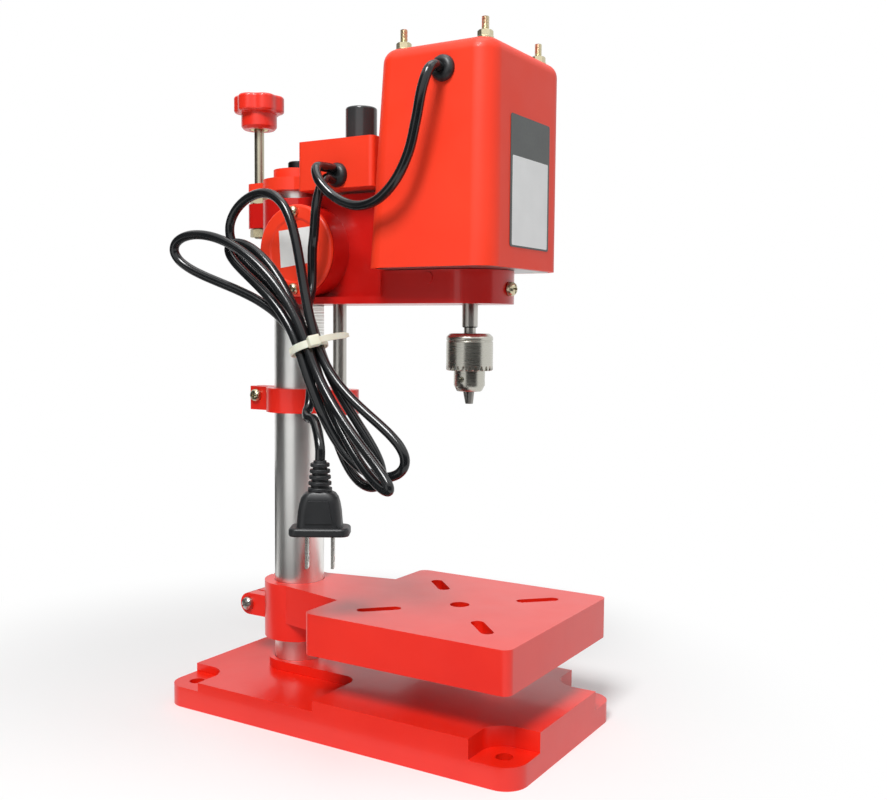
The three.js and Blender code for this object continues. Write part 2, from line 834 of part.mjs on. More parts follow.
function headBody() {
  const bearingPocket = lowerBearingBottom - seatGap;
  const boreReach = drumFace + overrun;
  const flange = roundedRect(-headFlangeHalf, headFlangeHalf, -noseRear - noseCorner * 2, -headFlangeRear, noseCorner);
  const potScrewY = -feedY;
  const body = join(
    softSlab(disc(headCollar), headBottom, headTop, headEdge, 12),
    slab(roundedRect(-headWebHalf, headWebHalf, -webFront, 0, headEdge), headBottom, headTop, 1),
    softSlab(flange, headBottom, headFlangeTop, headEdge, 1),
    softSlab(noseOutline(), headBottom, noseTop, headEdge, 6),
    alongX(slab(disc(drumRadius), -drumFace, 0, 16), -feedY, feedZ),
    alongX(softSlab(disc(leverBossRadius), 0, leverBossFace, headEdge, 10), -feedY, feedZ),
    cylinder(stopEarRadius, headEarBottom, headTop, 14, 0, stopRodY),
    block(-stopEarRadius, stopEarRadius, columnRadius + seatGap * 2, stopRodY, headEarBottom, headTop),
    alongX(
      cylinder(noseBossRadius, -headFlangeHalf - noseBossStand, 0, 12), -noseBossY, noseTop - noseBossRadius - headEdge,
    ),
  );
  return cut(
    body,
    cylinder(columnBore, headBottom - overrun, headTop + overrun, 28),
    alongX(cylinder(crossBore, -boreReach, boreReach, 28), -feedY, feedZ),
    alongX(cylinder(potRadius, -boreReach, -potFloor, 24), -feedY, feedZ),
    cylinder(noseBoreRadius, headBottom - overrun, bearingPocket + overrun, 12, 0, -spindleY),
    cylinder(lowerBearingRadius + seatGap, bearingPocket, noseTop + overrun, 20, 0, -spindleY),
    cylinder(guideRadius + seatGap, headBottom - overrun, guideRodTop + seatGap, 12, 0, -guideRodY),
    cylinder(stopRadius + seatGap, headEarBottom - overrun, headTop + overrun, 12, 0, stopRodY),
    ...[-1, 1].map((side) => alongX(
      cylinder(smallScrew / 2 + seatGap, -boreReach, -potFloor, 8), potScrewY, feedZ + side * potScrewCircle,
    )),
    alongFront(
      cylinder(smallScrew / 2 + seatGap, spindleY + lowerBearingRadius, spindleY + headFlangeHalf + overrun, 8),
      0, noseScrewZ,
    ),
  );
}

function noseScrew() {
  const seat = spindleY + headFlangeHalf + seatGap;
  const length = headFlangeHalf - lowerBearingRadius - overrun;
  const screw = panScrew(smallScrew / 2, length, smallScrewHead / 2, smallScrewHeadHeight * 1.2);
  return alongFront(screw.translate(0, 0, seat), 0, noseScrewZ);
}

// Spring pot cover: a dished disc with a raised rounded rim, and its two screws
function potCover() {
  const back = drumFace + seatGap;
  const face = back + potCoverThickness;
  const soft = potCoverThickness * 0.5;
  const profile = [
    [0, back], [drumRadius, back], [drumRadius, face - soft], [drumRadius - soft * 0.4, face - soft * 0.35],
    [drumRadius - soft, face], [potCoverRim + potCoverRecess, face], [potCoverRim, face - potCoverRecess],
    [0, face - potCoverRecess],
  ];
  const hole = (side) => cylinder(smallScrew / 2 + seatGap, back - overrun, face + overrun, 10, side * potScrewCircle, 0);
  const cover = cut(turned(profile, 26), hole(1), hole(-1));
  return alongX(cover.rotateX(Math.PI), -feedY, feedZ);
}

function potScrew(side) {
  const seat = drumFace + potCoverThickness + seatGap * 2;
  const length = drumFace - potFloor;
  const screw = panScrew(smallScrew / 2, length, smallScrewHead / 2.4, smallScrewHeadHeight);
  return alongX(screw.translate(0, 0, seat).rotateX(Math.PI), -feedY, feedZ + side * potScrewCircle);
}

// Clock spring in the pot: a flat strip wound from the arbor out to the drum wall
function clockSpring() {
  const steps = springTurns * 10;
  const rim = (offset) => {
    const side = [];
    for (let i = 0; i <= steps; i += 1) {
      const angle = (2 * Math.PI * springTurns * i) / steps;
      const radius = springInner + ((springOuter - springInner - springThickness) * i) / steps + offset;
      side.push([radius * Math.cos(angle), radius * Math.sin(angle)]);
    }
    return side;
  };
  const outline = [...rim(0), ...rim(springThickness).reverse()];
  const start = -potFloor - seatGap - springWidth;
  return alongX(slab(polygon(outline), start, start + springWidth), -feedY, feedZ);
}

// Pinion shaft: arbor for the spring, teeth in mesh with the rack, seat for the lever hub
function pinionShaft() {
  const tipHalf = 0.62;
  const rootHalf = 1.9;
  const toothShare = rackPitch / (2 * rackPitch) - rackBacklash / rackPitch;
  const root = pinionRadius - 1.25 * rackModule;
  const step = (2 * Math.PI) / pinionTeeth;
  const outline = [];
  for (let k = 0; k < pinionTeeth; k += 1) {
    const middle = (k + 0.5) * step;
    const atPitch = (toothShare * step) / 2;
    const atTip = atPitch * tipHalf;
    const atRoot = Math.min(atPitch * rootHalf, step / 2 - atPitch / 4);
    for (const [radius, angle] of [[root, -atRoot], [pinionTip, -atTip], [pinionTip, atTip], [root, atRoot]]) {
      outline.push([radius * Math.cos(middle + angle), radius * Math.sin(middle + angle)]);
    }
  }
  const gear = slab(polygon(outline), -pinionHalfWidth, pinionHalfWidth);
  gear.rotateZ(Math.PI / 2);
  const shaft = turned(
    [
      [0, -arborEnd], [arborRadius, -arborEnd], [arborRadius, -potFloor], [journalRadius, -potFloor],
      [journalRadius, leverBossFace + bushFlange + seatGap * 2], [hubSeatRadius, leverBossFace + bushFlange + seatGap * 2],
      [hubSeatRadius, hubStart + hubLength], [0, hubStart + hubLength],
    ],
    16,
  );
  return alongX(join(gear, shaft), -feedY, feedZ);
}

function leftBush() {
  const bush = ring(
    journalRadius + seatGap, crossBore - seatGap, seatGap - potFloor, seatGap - potFloor + leftBushLength, 16,
  );
  return alongX(bush, -feedY, feedZ);
}

function rightBush() {
  const face = leverBossFace + seatGap;
  const profile = [
    [journalRadius + seatGap, pinionHalfWidth + seatGap * 2], [crossBore - seatGap, pinionHalfWidth + seatGap * 2],
    [crossBore - seatGap, face], [bushFlangeRadius, face], [bushFlangeRadius, face + bushFlange],
    [journalRadius + seatGap, face + bushFlange], [journalRadius + seatGap, pinionHalfWidth + seatGap * 2],
  ];
  return alongX(turned(profile, 16), -feedY, feedZ);
}

// Feed lever: hub on the shaft end, a round rod leaning forward, and its grip
function onLever(geometry) {
  const x = hubStart + hubLength / 2;
  return geometry.rotateX(leverLean).translate(x, -feedY, feedZ);
}

function leverHub() {
  const soft = hubEdge;
  const end = hubStart + hubLength;
  const neck = leverBossFace + bushFlange + seatGap * 3;
  const profile = [
    [hubSeatRadius + seatGap, neck], [hubNeck, neck], [hubNeck, hubStart - soft], [hubRadius, hubStart],
    [hubRadius, end - soft], [hubRadius - soft, end], [hubSeatRadius + seatGap, end],
    [hubSeatRadius + seatGap, neck],
  ];
  const socket = cylinder(leverRodRadius + seatGap, hubRadius - leverSocket, hubRadius + overrun, 16);
  return cut(alongX(turned(profile, 16), -feedY, feedZ), onLever(socket));
}

function leverRod() {
  return onLever(cylinder(leverRodRadius, hubRadius - leverSocket + seatGap, leverReach - seatGap, 14));
}

function leverGrip() {
  const start = leverReach - gripLength * 0.5;
  const end = start + gripLength;
  const bore = leverRodRadius + seatGap;
  const profile = [
    [bore, start], [gripRadius * 0.6, start], [gripRadius * 0.86, start + gripLength * 0.14],
    [gripRadius, start + gripLength * 0.5], [gripRadius * 0.9, start + gripLength * 0.8],
    [gripRadius * 0.5, end - gripLength * 0.04], [0, end], [0, leverReach], [bore, leverReach], [bore, start],
  ];
  return onLever(turned(profile, 14));
}

// Depth stop: threaded rod in the head's ear, two nuts and the star knob on a brass insert
function stopNut(bottom) {
  const bore = cylinder(stopRadius + seatGap, bottom - overrun, bottom + nutHeight + overrun, 14, 0, stopRodY);
  return cut(hexagon(nutFlats, bottom, bottom + nutHeight, 0, stopRodY), bore);
}

function knobInsert() {
  const inner = knobInsertBore;
  return ring(inner, knobInsertRadius, knobBottom, knobBottom + knobInsertLength, 16, 0, stopRodY);
}

function starKnob() {
  const lobes = new THREE.Shape();
  const steps = knobLobes * 5;
  for (let i = 0; i < steps; i += 1) {
    const angle = (2 * Math.PI * i) / steps;
    const wave = Math.pow(0.5 - 0.5 * Math.cos(knobLobes * angle), 1.6);
    const radius = knobRadius - knobLobeDepth * wave;
    const x = radius * Math.cos(angle);
    const y = radius * Math.sin(angle);
    if (i === 0) lobes.moveTo(x, y);
    else lobes.lineTo(x, y);
  }
  lobes.closePath();
  const waist = knobHubRadius * 0.9;
  const hub = turned(
    [
      [0, knobBottom], [waist, knobBottom], [knobHubRadius, knobBottom + knobEdge],
      [knobHubRadius, knobHubTop + knobEdge], [0, knobHubTop + knobEdge],
    ],
    18,
  );
  const head = softSlab(lobes, knobHubTop, knobTop, knobEdge, 1, 1, true);
  const insertTop = knobBottom + knobInsertLength + seatGap;
  return cut(
    join(hub, head),
    cylinder(knobInsertRadius + seatGap, knobBottom - overrun, insertTop, 14),
    cylinder(knobInsertBore, knobBottom, knobTop - knobEdge * 2, 12),
  ).translate(0, stopRodY, 0);
}

// Motor: plate on the nose block, four tie studs, stator, armature, end bell, brushes and cover
function studSpots() {
  const front = -spindleY - studPitchY;
  const rear = -spindleY + studPitchY;
  return [[-studX, rear], [-studX, front], [studX, front], [studX, rear]];
}

function studHoles(bottom, top) {
  return studSpots().map(([x, y]) => cylinder(studRadius + seatGap, bottom - overrun, top + overrun, 8, x, y));
}

function spacers(bottom, top) {
  return studSpots().map(([x, y]) => cylinder(studRadius * 2.2, bottom, top, 8, x, y));
}

function coverOutline(inset) {
  return roundedRect(
    inset - coverHalfWidth, coverHalfWidth - inset, inset - coverFront, -coverRear - inset, coverCorner - inset,
  );
}

// The rear of the cover leans in: its points move forward with their height and their distance from the front
function leanedIn(geometry) {
  const place = geometry.attributes.position;
  for (let i = 0; i < place.count; i += 1) {
    const height = (place.getZ(i) - coverBottom) / (coverTop - coverBottom);
    const depth = (place.getY(i) + coverFront) / (coverFront - coverRear);
    place.setY(i, place.getY(i) - coverLean * height * depth);
  }
  return geometry;
}

function motorCover() {
  const hollow = softSlab(coverOutline(coverWall), coverBottom - overrun, coverTop - coverWall, coverEdge - coverWall, 2, 1);
  const reach = coverHalfWidth + overrun;
  return cut(
    leanedIn(softSlab(coverOutline(0), coverBottom, coverTop, coverEdge, 4, 3)),
    leanedIn(hollow),
    ...studHoles(coverTop - coverWall, coverTop),
    alongX(cylinder(glandNeck + seatGap, -reach, coverWall - coverHalfWidth + overrun, 16), -coverGlandY, coverGlandZ),
  );
}

function motorPlate() {
  const bottom = noseTop + seatGap;
  const top = bottom + plateThickness;
  return cut(
    join(slab(coverOutline(coverWall + seatGap * 2), bottom, top, 2), ...spacers(bottom, statorBottom - seatGap)),
    cylinder(lowerBearingRadius - seatGap * 6, bottom - overrun, top + overrun, 16, 0, -spindleY),
    ...studHoles(bottom, statorBottom),
  );
}

function tieStud([x, y]) {
  const washer = coverTop + seatGap;
  const nut = washer + studWasher;
  return join(
    cylinder(studRadius, noseTop + seatGap, studTop, 8, x, y),
    cylinder(studWasherRadius, washer, nut, 12, x, y),
    hexagon(studNutFlats, nut - studWasher / 2, nut + studNutHeight, x, y),
  );
}

function statorCore() {
  const outline = roundedRect(-statorHalfWidth, statorHalfWidth, -statorHalfDepth, statorHalfDepth, statorCorner);
  const core = slab(outline, statorBottom, statorTop, 1).translate(0, -spindleY, 0);
  return cut(
    core,
    cylinder(statorBore, statorBottom - overrun, statorTop + overrun, 20, 0, -spindleY),
    ...studHoles(statorBottom, statorTop),
  );
}

function spindleShaft() {
  const profile = [
    [0, spindleNoseBottom], [spindleNoseRadius, spindleNoseBottom], [spindleNeckRadius, spindleStep],
    [spindleRadius, spindleStep], [spindleRadius, lowerBearingBottom - seatGap],
    [bearingSeatRadius, lowerBearingBottom - seatGap], [bearingSeatRadius, upperBearingBottom - seatGap],
    [upperSeatRadius, upperBearingBottom - seatGap], [upperSeatRadius, spindleTop], [0, spindleTop],
  ];
  return turned(profile, 16, 0, -spindleY);
}

function armature() {
  return ring(bearingSeatRadius + seatGap, armatureRadius, statorBottom, statorTop, 20, 0, -spindleY);
}

function commutator() {
  return ring(bearingSeatRadius + seatGap, commutatorRadius, commutatorBottom, commutatorTop, 20, 0, -spindleY);
}

function coolingFan() {
  const blades = [];
  for (let k = 0; k < fanBlades; k += 1) {
    const blade = block(fanHub * 0.9, fanRadius, -fanBladeThickness / 2, fanBladeThickness / 2, fanBottom, fanTop);
    blades.push(blade.rotateZ((2 * Math.PI * k) / fanBlades));
  }
  const bore = bearingSeatRadius + seatGap;
  return join(
    ring(bore, fanRadius, fanBottom, fanBottom + fanDisc, 18),
    ring(bore, fanHub, fanBottom, fanTop, 10),
    ...blades,
  ).translate(0, -spindleY, 0);
}

function ballBearing(bore, outer, bottom, height) {
  return ring(bore, outer, bottom, bottom + height, 20, 0, -spindleY);
}

function endBell() {
  const top = upperBearingBottom + upperBearingHeight + seatGap * 2;
  const bottom = upperBearingBottom - seatGap * 2 - overrun;
  const arm = (x, y) => block(
    0, Math.hypot(x, y) + studRadius * 2, -studRadius * 2, studRadius * 2, bottom, bottom + endBellThickness,
  ).rotateZ(Math.atan2(y, x));
  const arms = studSpots().map(([x, y]) => arm(x, y + spindleY).translate(0, -spindleY, 0));
  return cut(
    join(cylinder(endBellHub, bottom, top, 16, 0, -spindleY), ...arms, brushHolder(1), brushHolder(-1),
      ...spacers(statorTop + seatGap, bottom + seatGap)),
    cylinder(upperBearingRadius + seatGap, upperBearingBottom - seatGap, top + overrun, 16, 0, -spindleY),
    cylinder(upperBearingRadius - seatGap * 6, bottom - overrun, top, 12, 0, -spindleY),
    ...studHoles(statorTop, bottom + endBellThickness),
  );
}

// Brush holders hang from the end bell on short legs beside the commutator, and are moulded with it
function brushHolder(side) {
  const middle = (commutatorBottom + commutatorTop) / 2;
  const near = commutatorRadius + seatGap * 2;
  const bell = upperBearingBottom - overrun;
  const bar = bell + endBellThickness / 2;
  const body = join(
    block(near, brushOuter, -brushWidth / 2, brushWidth / 2, middle - brushHeight / 2, middle + brushHeight / 2),
    block(brushOuter - brushWidth, brushOuter, -brushWidth / 2, brushWidth / 2, middle, bar),
    block(endBellHub * 0.85, brushOuter, -brushWidth / 2, brushWidth / 2, bell, bar),
  );
  if (side < 0) body.rotateZ(Math.PI);
  return body.translate(0, -spindleY, 0);
}

// Chuck: body with inclined jaw bores, toothed sleeve, and three jaws that meet on the axis
function jawAxis(index) {
  const angle = (2 * Math.PI * index) / jawCount;
  return { angle, tilt: jawAngle };
}

function onJaw(geometry, index) {
  const { angle, tilt } = jawAxis(index);
  return geometry.rotateY(tilt).translate(0, 0, jawTip).rotateZ(angle).translate(0, -spindleY, 0);
}

function chuckBody() {
  const bore = spindleNoseRadius + seatGap;
  const profile = [
    [0, chuckBottom], [chuckRadius - chuckEdge, chuckBottom], [chuckRadius - chuckEdge * 0.3, chuckBottom + chuckEdge * 0.3],
    [chuckRadius, chuckBottom + chuckEdge], [chuckRadius, sleeveBottom + overrun], [chuckShoulder, sleeveBottom + overrun],
    [chuckShoulder, chuckTop], [bore, chuckTop], [bore, spindleNoseBottom - seatGap], [0, spindleNoseBottom - seatGap],
  ];
  const jawBores = [];
  const keyHoles = [];
  for (let k = 0; k < jawCount; k += 1) {
    const reach = (jawTop + jawTravel + seatGap - jawTip) / Math.cos(jawAngle);
    jawBores.push(onJaw(cylinder(jawRadius + seatGap, -overrun, reach, 10), k));
    const hole = cylinder(keyHoleRadius, chuckRadius - keyHoleDepth, chuckRadius + overrun, 8);
    const turn = (2 * Math.PI * (k + 0.5)) / jawCount;
    keyHoles.push(hole.rotateY(Math.PI / 2).rotateZ(turn).translate(0, -spindleY, keyHoleZ));
  }
  return cut(
    turned(profile, 20, 0, -spindleY),
    cylinder(chuckMouth, chuckBottom - overrun, keyHoleZ + overrun * 4, 12, 0, -spindleY),
    ...jawBores,
    ...keyHoles,
  );
}

function chuckJaw(index) {
  const length = (jawTop - jawTip) / Math.cos(jawAngle);
  const rod = onJaw(cylinder(jawRadius, 0, length, 10), index);
  const reach = jawTop * 0.2;
  const half = (Math.PI / jawCount) * 0.999;
  const edge = seatGap / 2 / Math.sin(half);
  const far = (angle) => [edge + reach * Math.cos(angle), reach * Math.sin(angle)];
  const wedge = slab(polygon([[edge, 0], far(-half), [reach * 2, 0], far(half)]), jawTip, jawTop + overrun);
  return common(rod, wedge.rotateZ(jawAxis(index).angle).translate(0, -spindleY, 0));
}

function chuckSleeve() {
  const profile = [
    [sleeveBore, sleeveBottom], [sleeveRadius, sleeveBottom], [sleeveRadius, sleeveTop - sleeveBevel],
    [sleeveRadius - sleeveBevel, sleeveTop], [sleeveBore, sleeveTop], [sleeveBore, sleeveBottom],
  ];
  const notches = [];
  const half = (Math.PI * sleeveRadius) / sleeveTeeth / 2;
  for (let k = 0; k < sleeveTeeth; k += 1) {
    const vee = polygon([
      [-half * 1.6, sleeveBottom - overrun], [half * 1.6, sleeveBottom - overrun],
      [0, sleeveBottom + sleeveToothDepth],
    ]);
    const tool = slab(vee, sleeveBore + overrun / 2, sleeveRadius + overrun);
    notches.push(tool.rotateX(Math.PI / 2).rotateZ((2 * Math.PI * k) / sleeveTeeth));
  }
  return cut(turned(profile, 24).rotateZ(Math.PI / sleeveTeeth), ...notches).translate(0, -spindleY, 0);
}

// Table: a hollow square plate with slots, an arm, and a split collar with clamp ears
function tableSlot(turn) {
  const half = tableSlotWidth / 2;
  const inner = tableSlotCircle - tableSlotLength / 2;
  const outer = tableSlotCircle + tableSlotLength / 2;
  const outline = new THREE.Shape();
  outline.absarc(outer - half, 0, half, -Math.PI / 2, Math.PI / 2);
  outline.absarc(inner + half, 0, half, Math.PI / 2, 1.5 * Math.PI);
  outline.closePath();
  const middle = (tableRear + tableFront) / 2;
  return slab(outline, tableBottom, tableTop + overrun, 4).rotateZ(turn).translate(0, -middle, 0);
}

function tableBody() {
  const outline = roundedRect(-tableHalfWidth, tableHalfWidth, -tableFront, -tableRear, tableCorner);
  const inner = tableHalfWidth - tableWall;
  const hollow = roundedRect(-inner, inner, tableWall - tableFront, -tableRear - tableWall, tableCorner);
  const arm = polygon([
    [-tableCollar * 0.96, -tableCollar * 0.28], [-tableArmHalf, -tableRear - tableEdge],
    [tableArmHalf, -tableRear - tableEdge], [tableCollar * 0.96, -tableCollar * 0.28],
  ]);
  const middle = -(tableRear + tableFront) / 2;
  const earRound = (tableEarTop - tableEarBottom) / 2;
  const earSlab = slab(tongue(earRound, 0, tableEarReach), -tableEarHalf, tableEarHalf, 5);
  earSlab.translate(tableEarBottom + earRound, 0, 0);
  earSlab.applyMatrix4(new THREE.Matrix4().makeBasis(
    new THREE.Vector3(0, 0, 1), new THREE.Vector3(0, 1, 0), new THREE.Vector3(-1, 0, 0),
  ));
  const ribHalf = tableWall / 2;
  const skinBottom = tableTop - tableSkin;
  const body = join(
    softSlab(outline, tableBottom, tableTop, tableEdge, 3),
    softSlab(disc(tableCollar), tableCollarBottom, tableTop, tableEdge, 14),
    softSlab(arm, tableBottom, tableTop, tableEdge, 1),
    earSlab,
  );
  const cavity = cut(
    slab(hollow, tableBottom - overrun, skinBottom, 1),
    cylinder(tableHole / 2 + tableWall, tableBottom - overrun * 2, tableTop, 14, 0, middle),
    block(-ribHalf, ribHalf, -tableRear - tableSlotWidth * 2, -tableRear, tableBottom - overrun * 2, tableTop),
  );
  return cut(
    body,
    cavity,
    cylinder(columnBore, tableCollarBottom - overrun, tableTop + overrun, 28),
    block(-clampSlot / 2, clampSlot / 2, 0, tableEarReach + overrun, tableCollarBottom - overrun, tableTop + overrun),
    cylinder(tableHole / 2, tableBottom - overrun, tableTop + overrun, 20, 0, middle),
    ...[0.25, 0.75, 1.25, 1.75].map((turn) => tableSlot(turn * Math.PI)),
    alongX(
      cylinder(tableBoltRadius + seatGap, -tableEarHalf - overrun, tableEarHalf + overrun, 12), tableBoltY, tableBoltZ,
    ),
  );
}

function tableBolt() {
  const seat = tableEarHalf + seatGap;
  const end = seat + tableNutHeight + overrun;
  const dome = tableBoltDome;
  const profile = [
    [0, -end], [tableBoltRadius, -end], [tableBoltRadius, seat], [dome, seat],
    [dome, seat + tableBoltDomeHeight * 0.35], [dome * 0.72, seat + tableBoltDomeHeight * 0.82],
    [0, seat + tableBoltDomeHeight],
  ];
  return alongX(turned(profile, 14).rotateX(Math.PI), tableBoltY, tableBoltZ);
}

function tableNut() {
  const seat = tableEarHalf + seatGap;
  const nut = cut(
    hexagon(tableNutFlats, seat, seat + tableNutHeight),
    cylinder(tableBoltRadius + seatGap, seat - overrun, seat + tableNutHeight + overrun, 12),
  );
  return alongX(nut, tableBoltY, tableBoltZ);
}

// Motor lead: slack between the two glands, so that the head can go down
const leadPoints = [
  [-34, -51.5, 311.6], [-41, -51.5, 311.6], [-50, -52.5, 310], [-54, -57, 303], [-53, -66, 294],
  [-52, -79, 288.5], [-53, -93, 290], [-55, -106, 298.5], [-56, -115, 312], [-57, -120.5, 329],
  [-57.5, -124, 343], [-55.5, -126.5, 352], [-51, -127, 354.8], [-46.4, -127, 355],
];

function curveThrough(points) {
  const path = points.map((point) => (Array.isArray(point) ? new THREE.Vector3(...point) : point));
  return new THREE.CatmullRomCurve3(path, false, 'centripetal');
}

// Mains cord down to the tie
const cordPoints = [
  [-34, -51.5, 305.8], [-40, -51.5, 305.8], [-46, -52.7, 301.1], [-48.7, -51.6, 291.9],
  [-48.4, -49.6, 275.2], [-46.9, -47.3, 267.5], [-47.2, -47, 245.6], [-55.9, -51.3, 233.7],
  [-55.9, -54.1, 226.6],
];

// Hank: seven passes through the tie, joined by three loops below and three above it.
// Each loop leaves one place of the bundle along its axis, swings out to its tip and comes back to the next.
const waist = new THREE.Vector3(-61, -56, 214);
const waistLean = 0.38;
const waistRun = 12;
const slotShares = [
  [0.866, -0.5], [0.866, 0.5], [0, -1], [-0.866, 0.5], [0, 0], [-0.866, -0.5], [0, 1],
];
const loopTips = [
  { tip: [0, -37.1, -72.4], width: 15.4, bulge: 4.7 },
  { tip: [0, 49.1, 78.2], width: 37.3, bulge: -1.0 },
  { tip: [0, -55.1, -63.6], width: 19.4, bulge: 4.8 },
  { tip: [0, 51.0, 56.1], width: 10.7, bulge: -0.1 },
  { tip: [0, -59.5, -70.3], width: 7, bulge: -11.0 },
  { tip: [0, 82.4, 56.6], width: 19.9, bulge: -10.9 },
];
const hankSteps = 20;

function bundleAxes() {
  return {
    along: new THREE.Vector3(0, Math.sin(waistLean), Math.cos(waistLean)),
    across: new THREE.Vector3(0, Math.cos(waistLean), -Math.sin(waistLean)),
  };
}

function slotPoint(index) {
  const [depth, side] = slotShares[index];
  return new THREE.Vector3(depth * waistPitch, 0, 0).addScaledVector(bundleAxes().across, side * waistPitch);
}

function hankPoints() {
  const { along, across } = bundleAxes();
  const last = loopTips.length;
  const points = [1, 0.5].map((share) => slotPoint(0).addScaledVector(along, waistRun * share));
  loopTips.forEach(({ tip, width, bulge }, index) => {
    const from = slotPoint(index);
    const to = slotPoint(index + 1);
    const reach = new THREE.Vector3(...tip);
    const rise = reach.dot(along);
    const swing = reach.clone().addScaledVector(along, -rise);
    const side = new THREE.Vector3(0, reach.z, -reach.y).normalize();
    if (side.dot(across) < 0) side.negate();
    const spread = -width * 0.65 * Math.sign(to.clone().sub(from).dot(across));
    for (let i = index === 0 ? 0 : 1; i <= hankSteps; i += 1) {
      const t = i / hankSteps;
      const out = Math.sin(Math.PI * t);
      const point = from.clone().lerp(to, t - Math.sin(2 * Math.PI * t) / (2 * Math.PI));
      point.addScaledVector(along, rise * out).addScaledVector(swing, out * out);
      point.addScaledVector(side, spread * Math.sin(2 * Math.PI * t) * out);
      point.x += bulge * out * out;
      points.push(point);
    }
  });
  points.push(...[0.5, 1].map((share) => slotPoint(last).addScaledVector(along, -waistRun * share)));
  return points.map((point) => point.add(waist));
}

// Nylon tie round the bundle: a flat band and its lock
function cordTie() {
  const inner = waistPitch + cordRadius + seatGap * 3;
  const outer = inner + tieThickness;
  const lock = block(inner + seatGap, outer + tieHeadStand, -tieHead / 2, tieHead / 2, -tieWidth * 0.7, tieWidth * 0.7);
  const band = join(ring(inner, outer, -tieWidth / 2, tieWidth / 2, 24), lock.rotateZ(tieTurn));
  return band.rotateX(-waistLean).translate(waist.x, waist.y, waist.z);
}

// Tail from the hank to the plug, which hangs on it
const tailPoints = [
  [-61, -55.2, 200.3], [-61, -57.2, 195.1], [-63.8, -58.5, 183.7], [-67.1, -59.5, 179.9],
  [-70, -62.7, 177.7], [-72.6, -68.6, 176.6], [-80, -78.3, 163.7], [-80, -78.3, 157.5],
];

// Plug: a moulded body with a ribbed relief, a panel, a grip flange and two flat blades
function onPlug(geometry) {
  const [x, y] = tailPoints[tailPoints.length - 1];
  return geometry.rotateZ(-plugTurn).translate(x, y, 0);
}

function plugBody() {
  const profile = [[0, plugTop - overrun], [reliefRadius, plugTop - overrun]];
  const pitch = (reliefTop - reliefBottom) / reliefRibs;
  for (let k = 0; k < reliefRibs; k += 1) {
    const radius = reliefRadius - ((reliefRadius - reliefTopRadius) * k) / reliefRibs;
    const start = reliefBottom + k * pitch;
    profile.push([radius, start], [radius, start + pitch * 0.6]);
    profile.push([radius - reliefGroove, start + pitch * 0.65], [radius - reliefGroove, start + pitch * 0.95]);
  }
  profile.push([reliefTopRadius - reliefGroove, reliefTop], [0, reliefTop]);
  const edge = plugHalfThickness / 4;
  const outline = (x, y, radius) => roundedRect(-x, x, -y, y, radius);
  const blades = [-1, 1].map((side) => plugBladeSpace(side, seatGap));
  return onPlug(cut(
    join(
      turned(profile, 8),
      softSlab(outline(plugHalfWidth, plugHalfThickness, edge * 2), plugFlangeTop - overrun, plugTop, edge, 1),
      softSlab(outline(plugFlangeHalfWidth, plugFlangeHalfThickness, edge * 2), plugBottom, plugFlangeTop, edge, 1),
      block(-plugPanel, plugPanel, -plugHalfThickness - plugPanelStand, 0,
        plugFlangeTop + edge, plugTop - edge * 2),
    ),
    ...blades,
  ));
}

function plugBladeSpace(side, gap) {
  const x = side * bladeHalfPitch;
  const half = bladeThickness / 2 + gap;
  const wide = bladeWidth / 2 + gap;
  return block(x - half, x + half, -wide, wide, plugBottom - bladeLength, plugBottom + bladeSocket + gap);
}

function plugBlade(side) {
  return onPlug(plugBladeSpace(side, 0));
}

function leastGap(points, diameter) {
  const lengths = points.map((point, i) => (i === 0 ? 0 : point.distanceTo(points[i - 1])));
  let least = Infinity;
  for (let i = 0; i < points.length; i += 1) {
    let along = 0;
    for (let j = i + 1; j < points.length; j += 1) {
      along += lengths[j];
      if (along > 3 * diameter) least = Math.min(least, points[i].distanceTo(points[j]) - diameter);
    }
  }
  return least;
}

add('base', baseCasting(), redCasting);
add('column', columnBar(), steel);
add('control_box', controlBox(), redCover);
add('box_floor', boxFloorPlate(), redCover);
add('speed_regulator', speedRegulator(), board);
add('speed_shaft', speedShaftBar(), aluminium);
add('speed_knob', speedKnob(), blackPlastic);
add('bracket_bolt', bracketBolt(), blackSteel);
add('control_gland', gland(boxHalfWidth, boxWall, -controlGlandY, controlGlandZ), rubber);
add('mid_clamp', midClamp(), redCasting);
add('mid_clamp_screw', midClampScrew(), zinc);
add('head_casting', headBody(), redCasting);
add('nose_screw', noseScrew(), zinc);
add('pot_cover', potCover(), redCasting);
add('pot_screw_upper', potScrew(1), zinc);
add('pot_screw_lower', potScrew(-1), zinc);
add('clock_spring', clockSpring(), blackSteel);
add('guide_rod', cylinder(guideRadius, guideRodBottom, guideRodTop, 16, 0, -guideRodY), steel);
add('stop_rod', cylinder(stopRadius, stopRodBottom, stopRodTop, 14, 0, stopRodY), steel);
add('stop_nut_upper', stopNut(headTop + seatGap), zinc);
add('stop_nut_lower', stopNut(headEarBottom - seatGap - nutHeight), zinc);
add('knob_insert', knobInsert(), brass);
add('star_knob', starKnob(), redPlastic);
add('pinion_shaft', pinionShaft(), steel);
add('bush_left', leftBush(), bronze);
add('bush_right', rightBush(), bronze);
add('lever_hub', leverHub(), blackSteel);
add('lever_rod', leverRod(), steel);
add('lever_grip', leverGrip(), blackPlastic);
add('motor_plate', motorPlate(), steel);
studSpots().forEach((spot, index) => add(`tie_stud_${index + 1}`, tieStud(spot), zinc));
add('stator', statorCore(), blackSteel);
add('armature', armature(), copper);
add('commutator', commutator(), copper);
add('cooling_fan', coolingFan(), blackPlastic);
add('bearing_lower', ballBearing(bearingSeatRadius + seatGap, lowerBearingRadius, lowerBearingBottom,
  lowerBearingHeight), steel);
add('bearing_upper', ballBearing(upperSeatRadius + seatGap, upperBearingRadius, upperBearingBottom,
  upperBearingHeight), steel);
add('end_bell', endBell(), aluminium);
add('motor_cover', motorCover(), redCover);
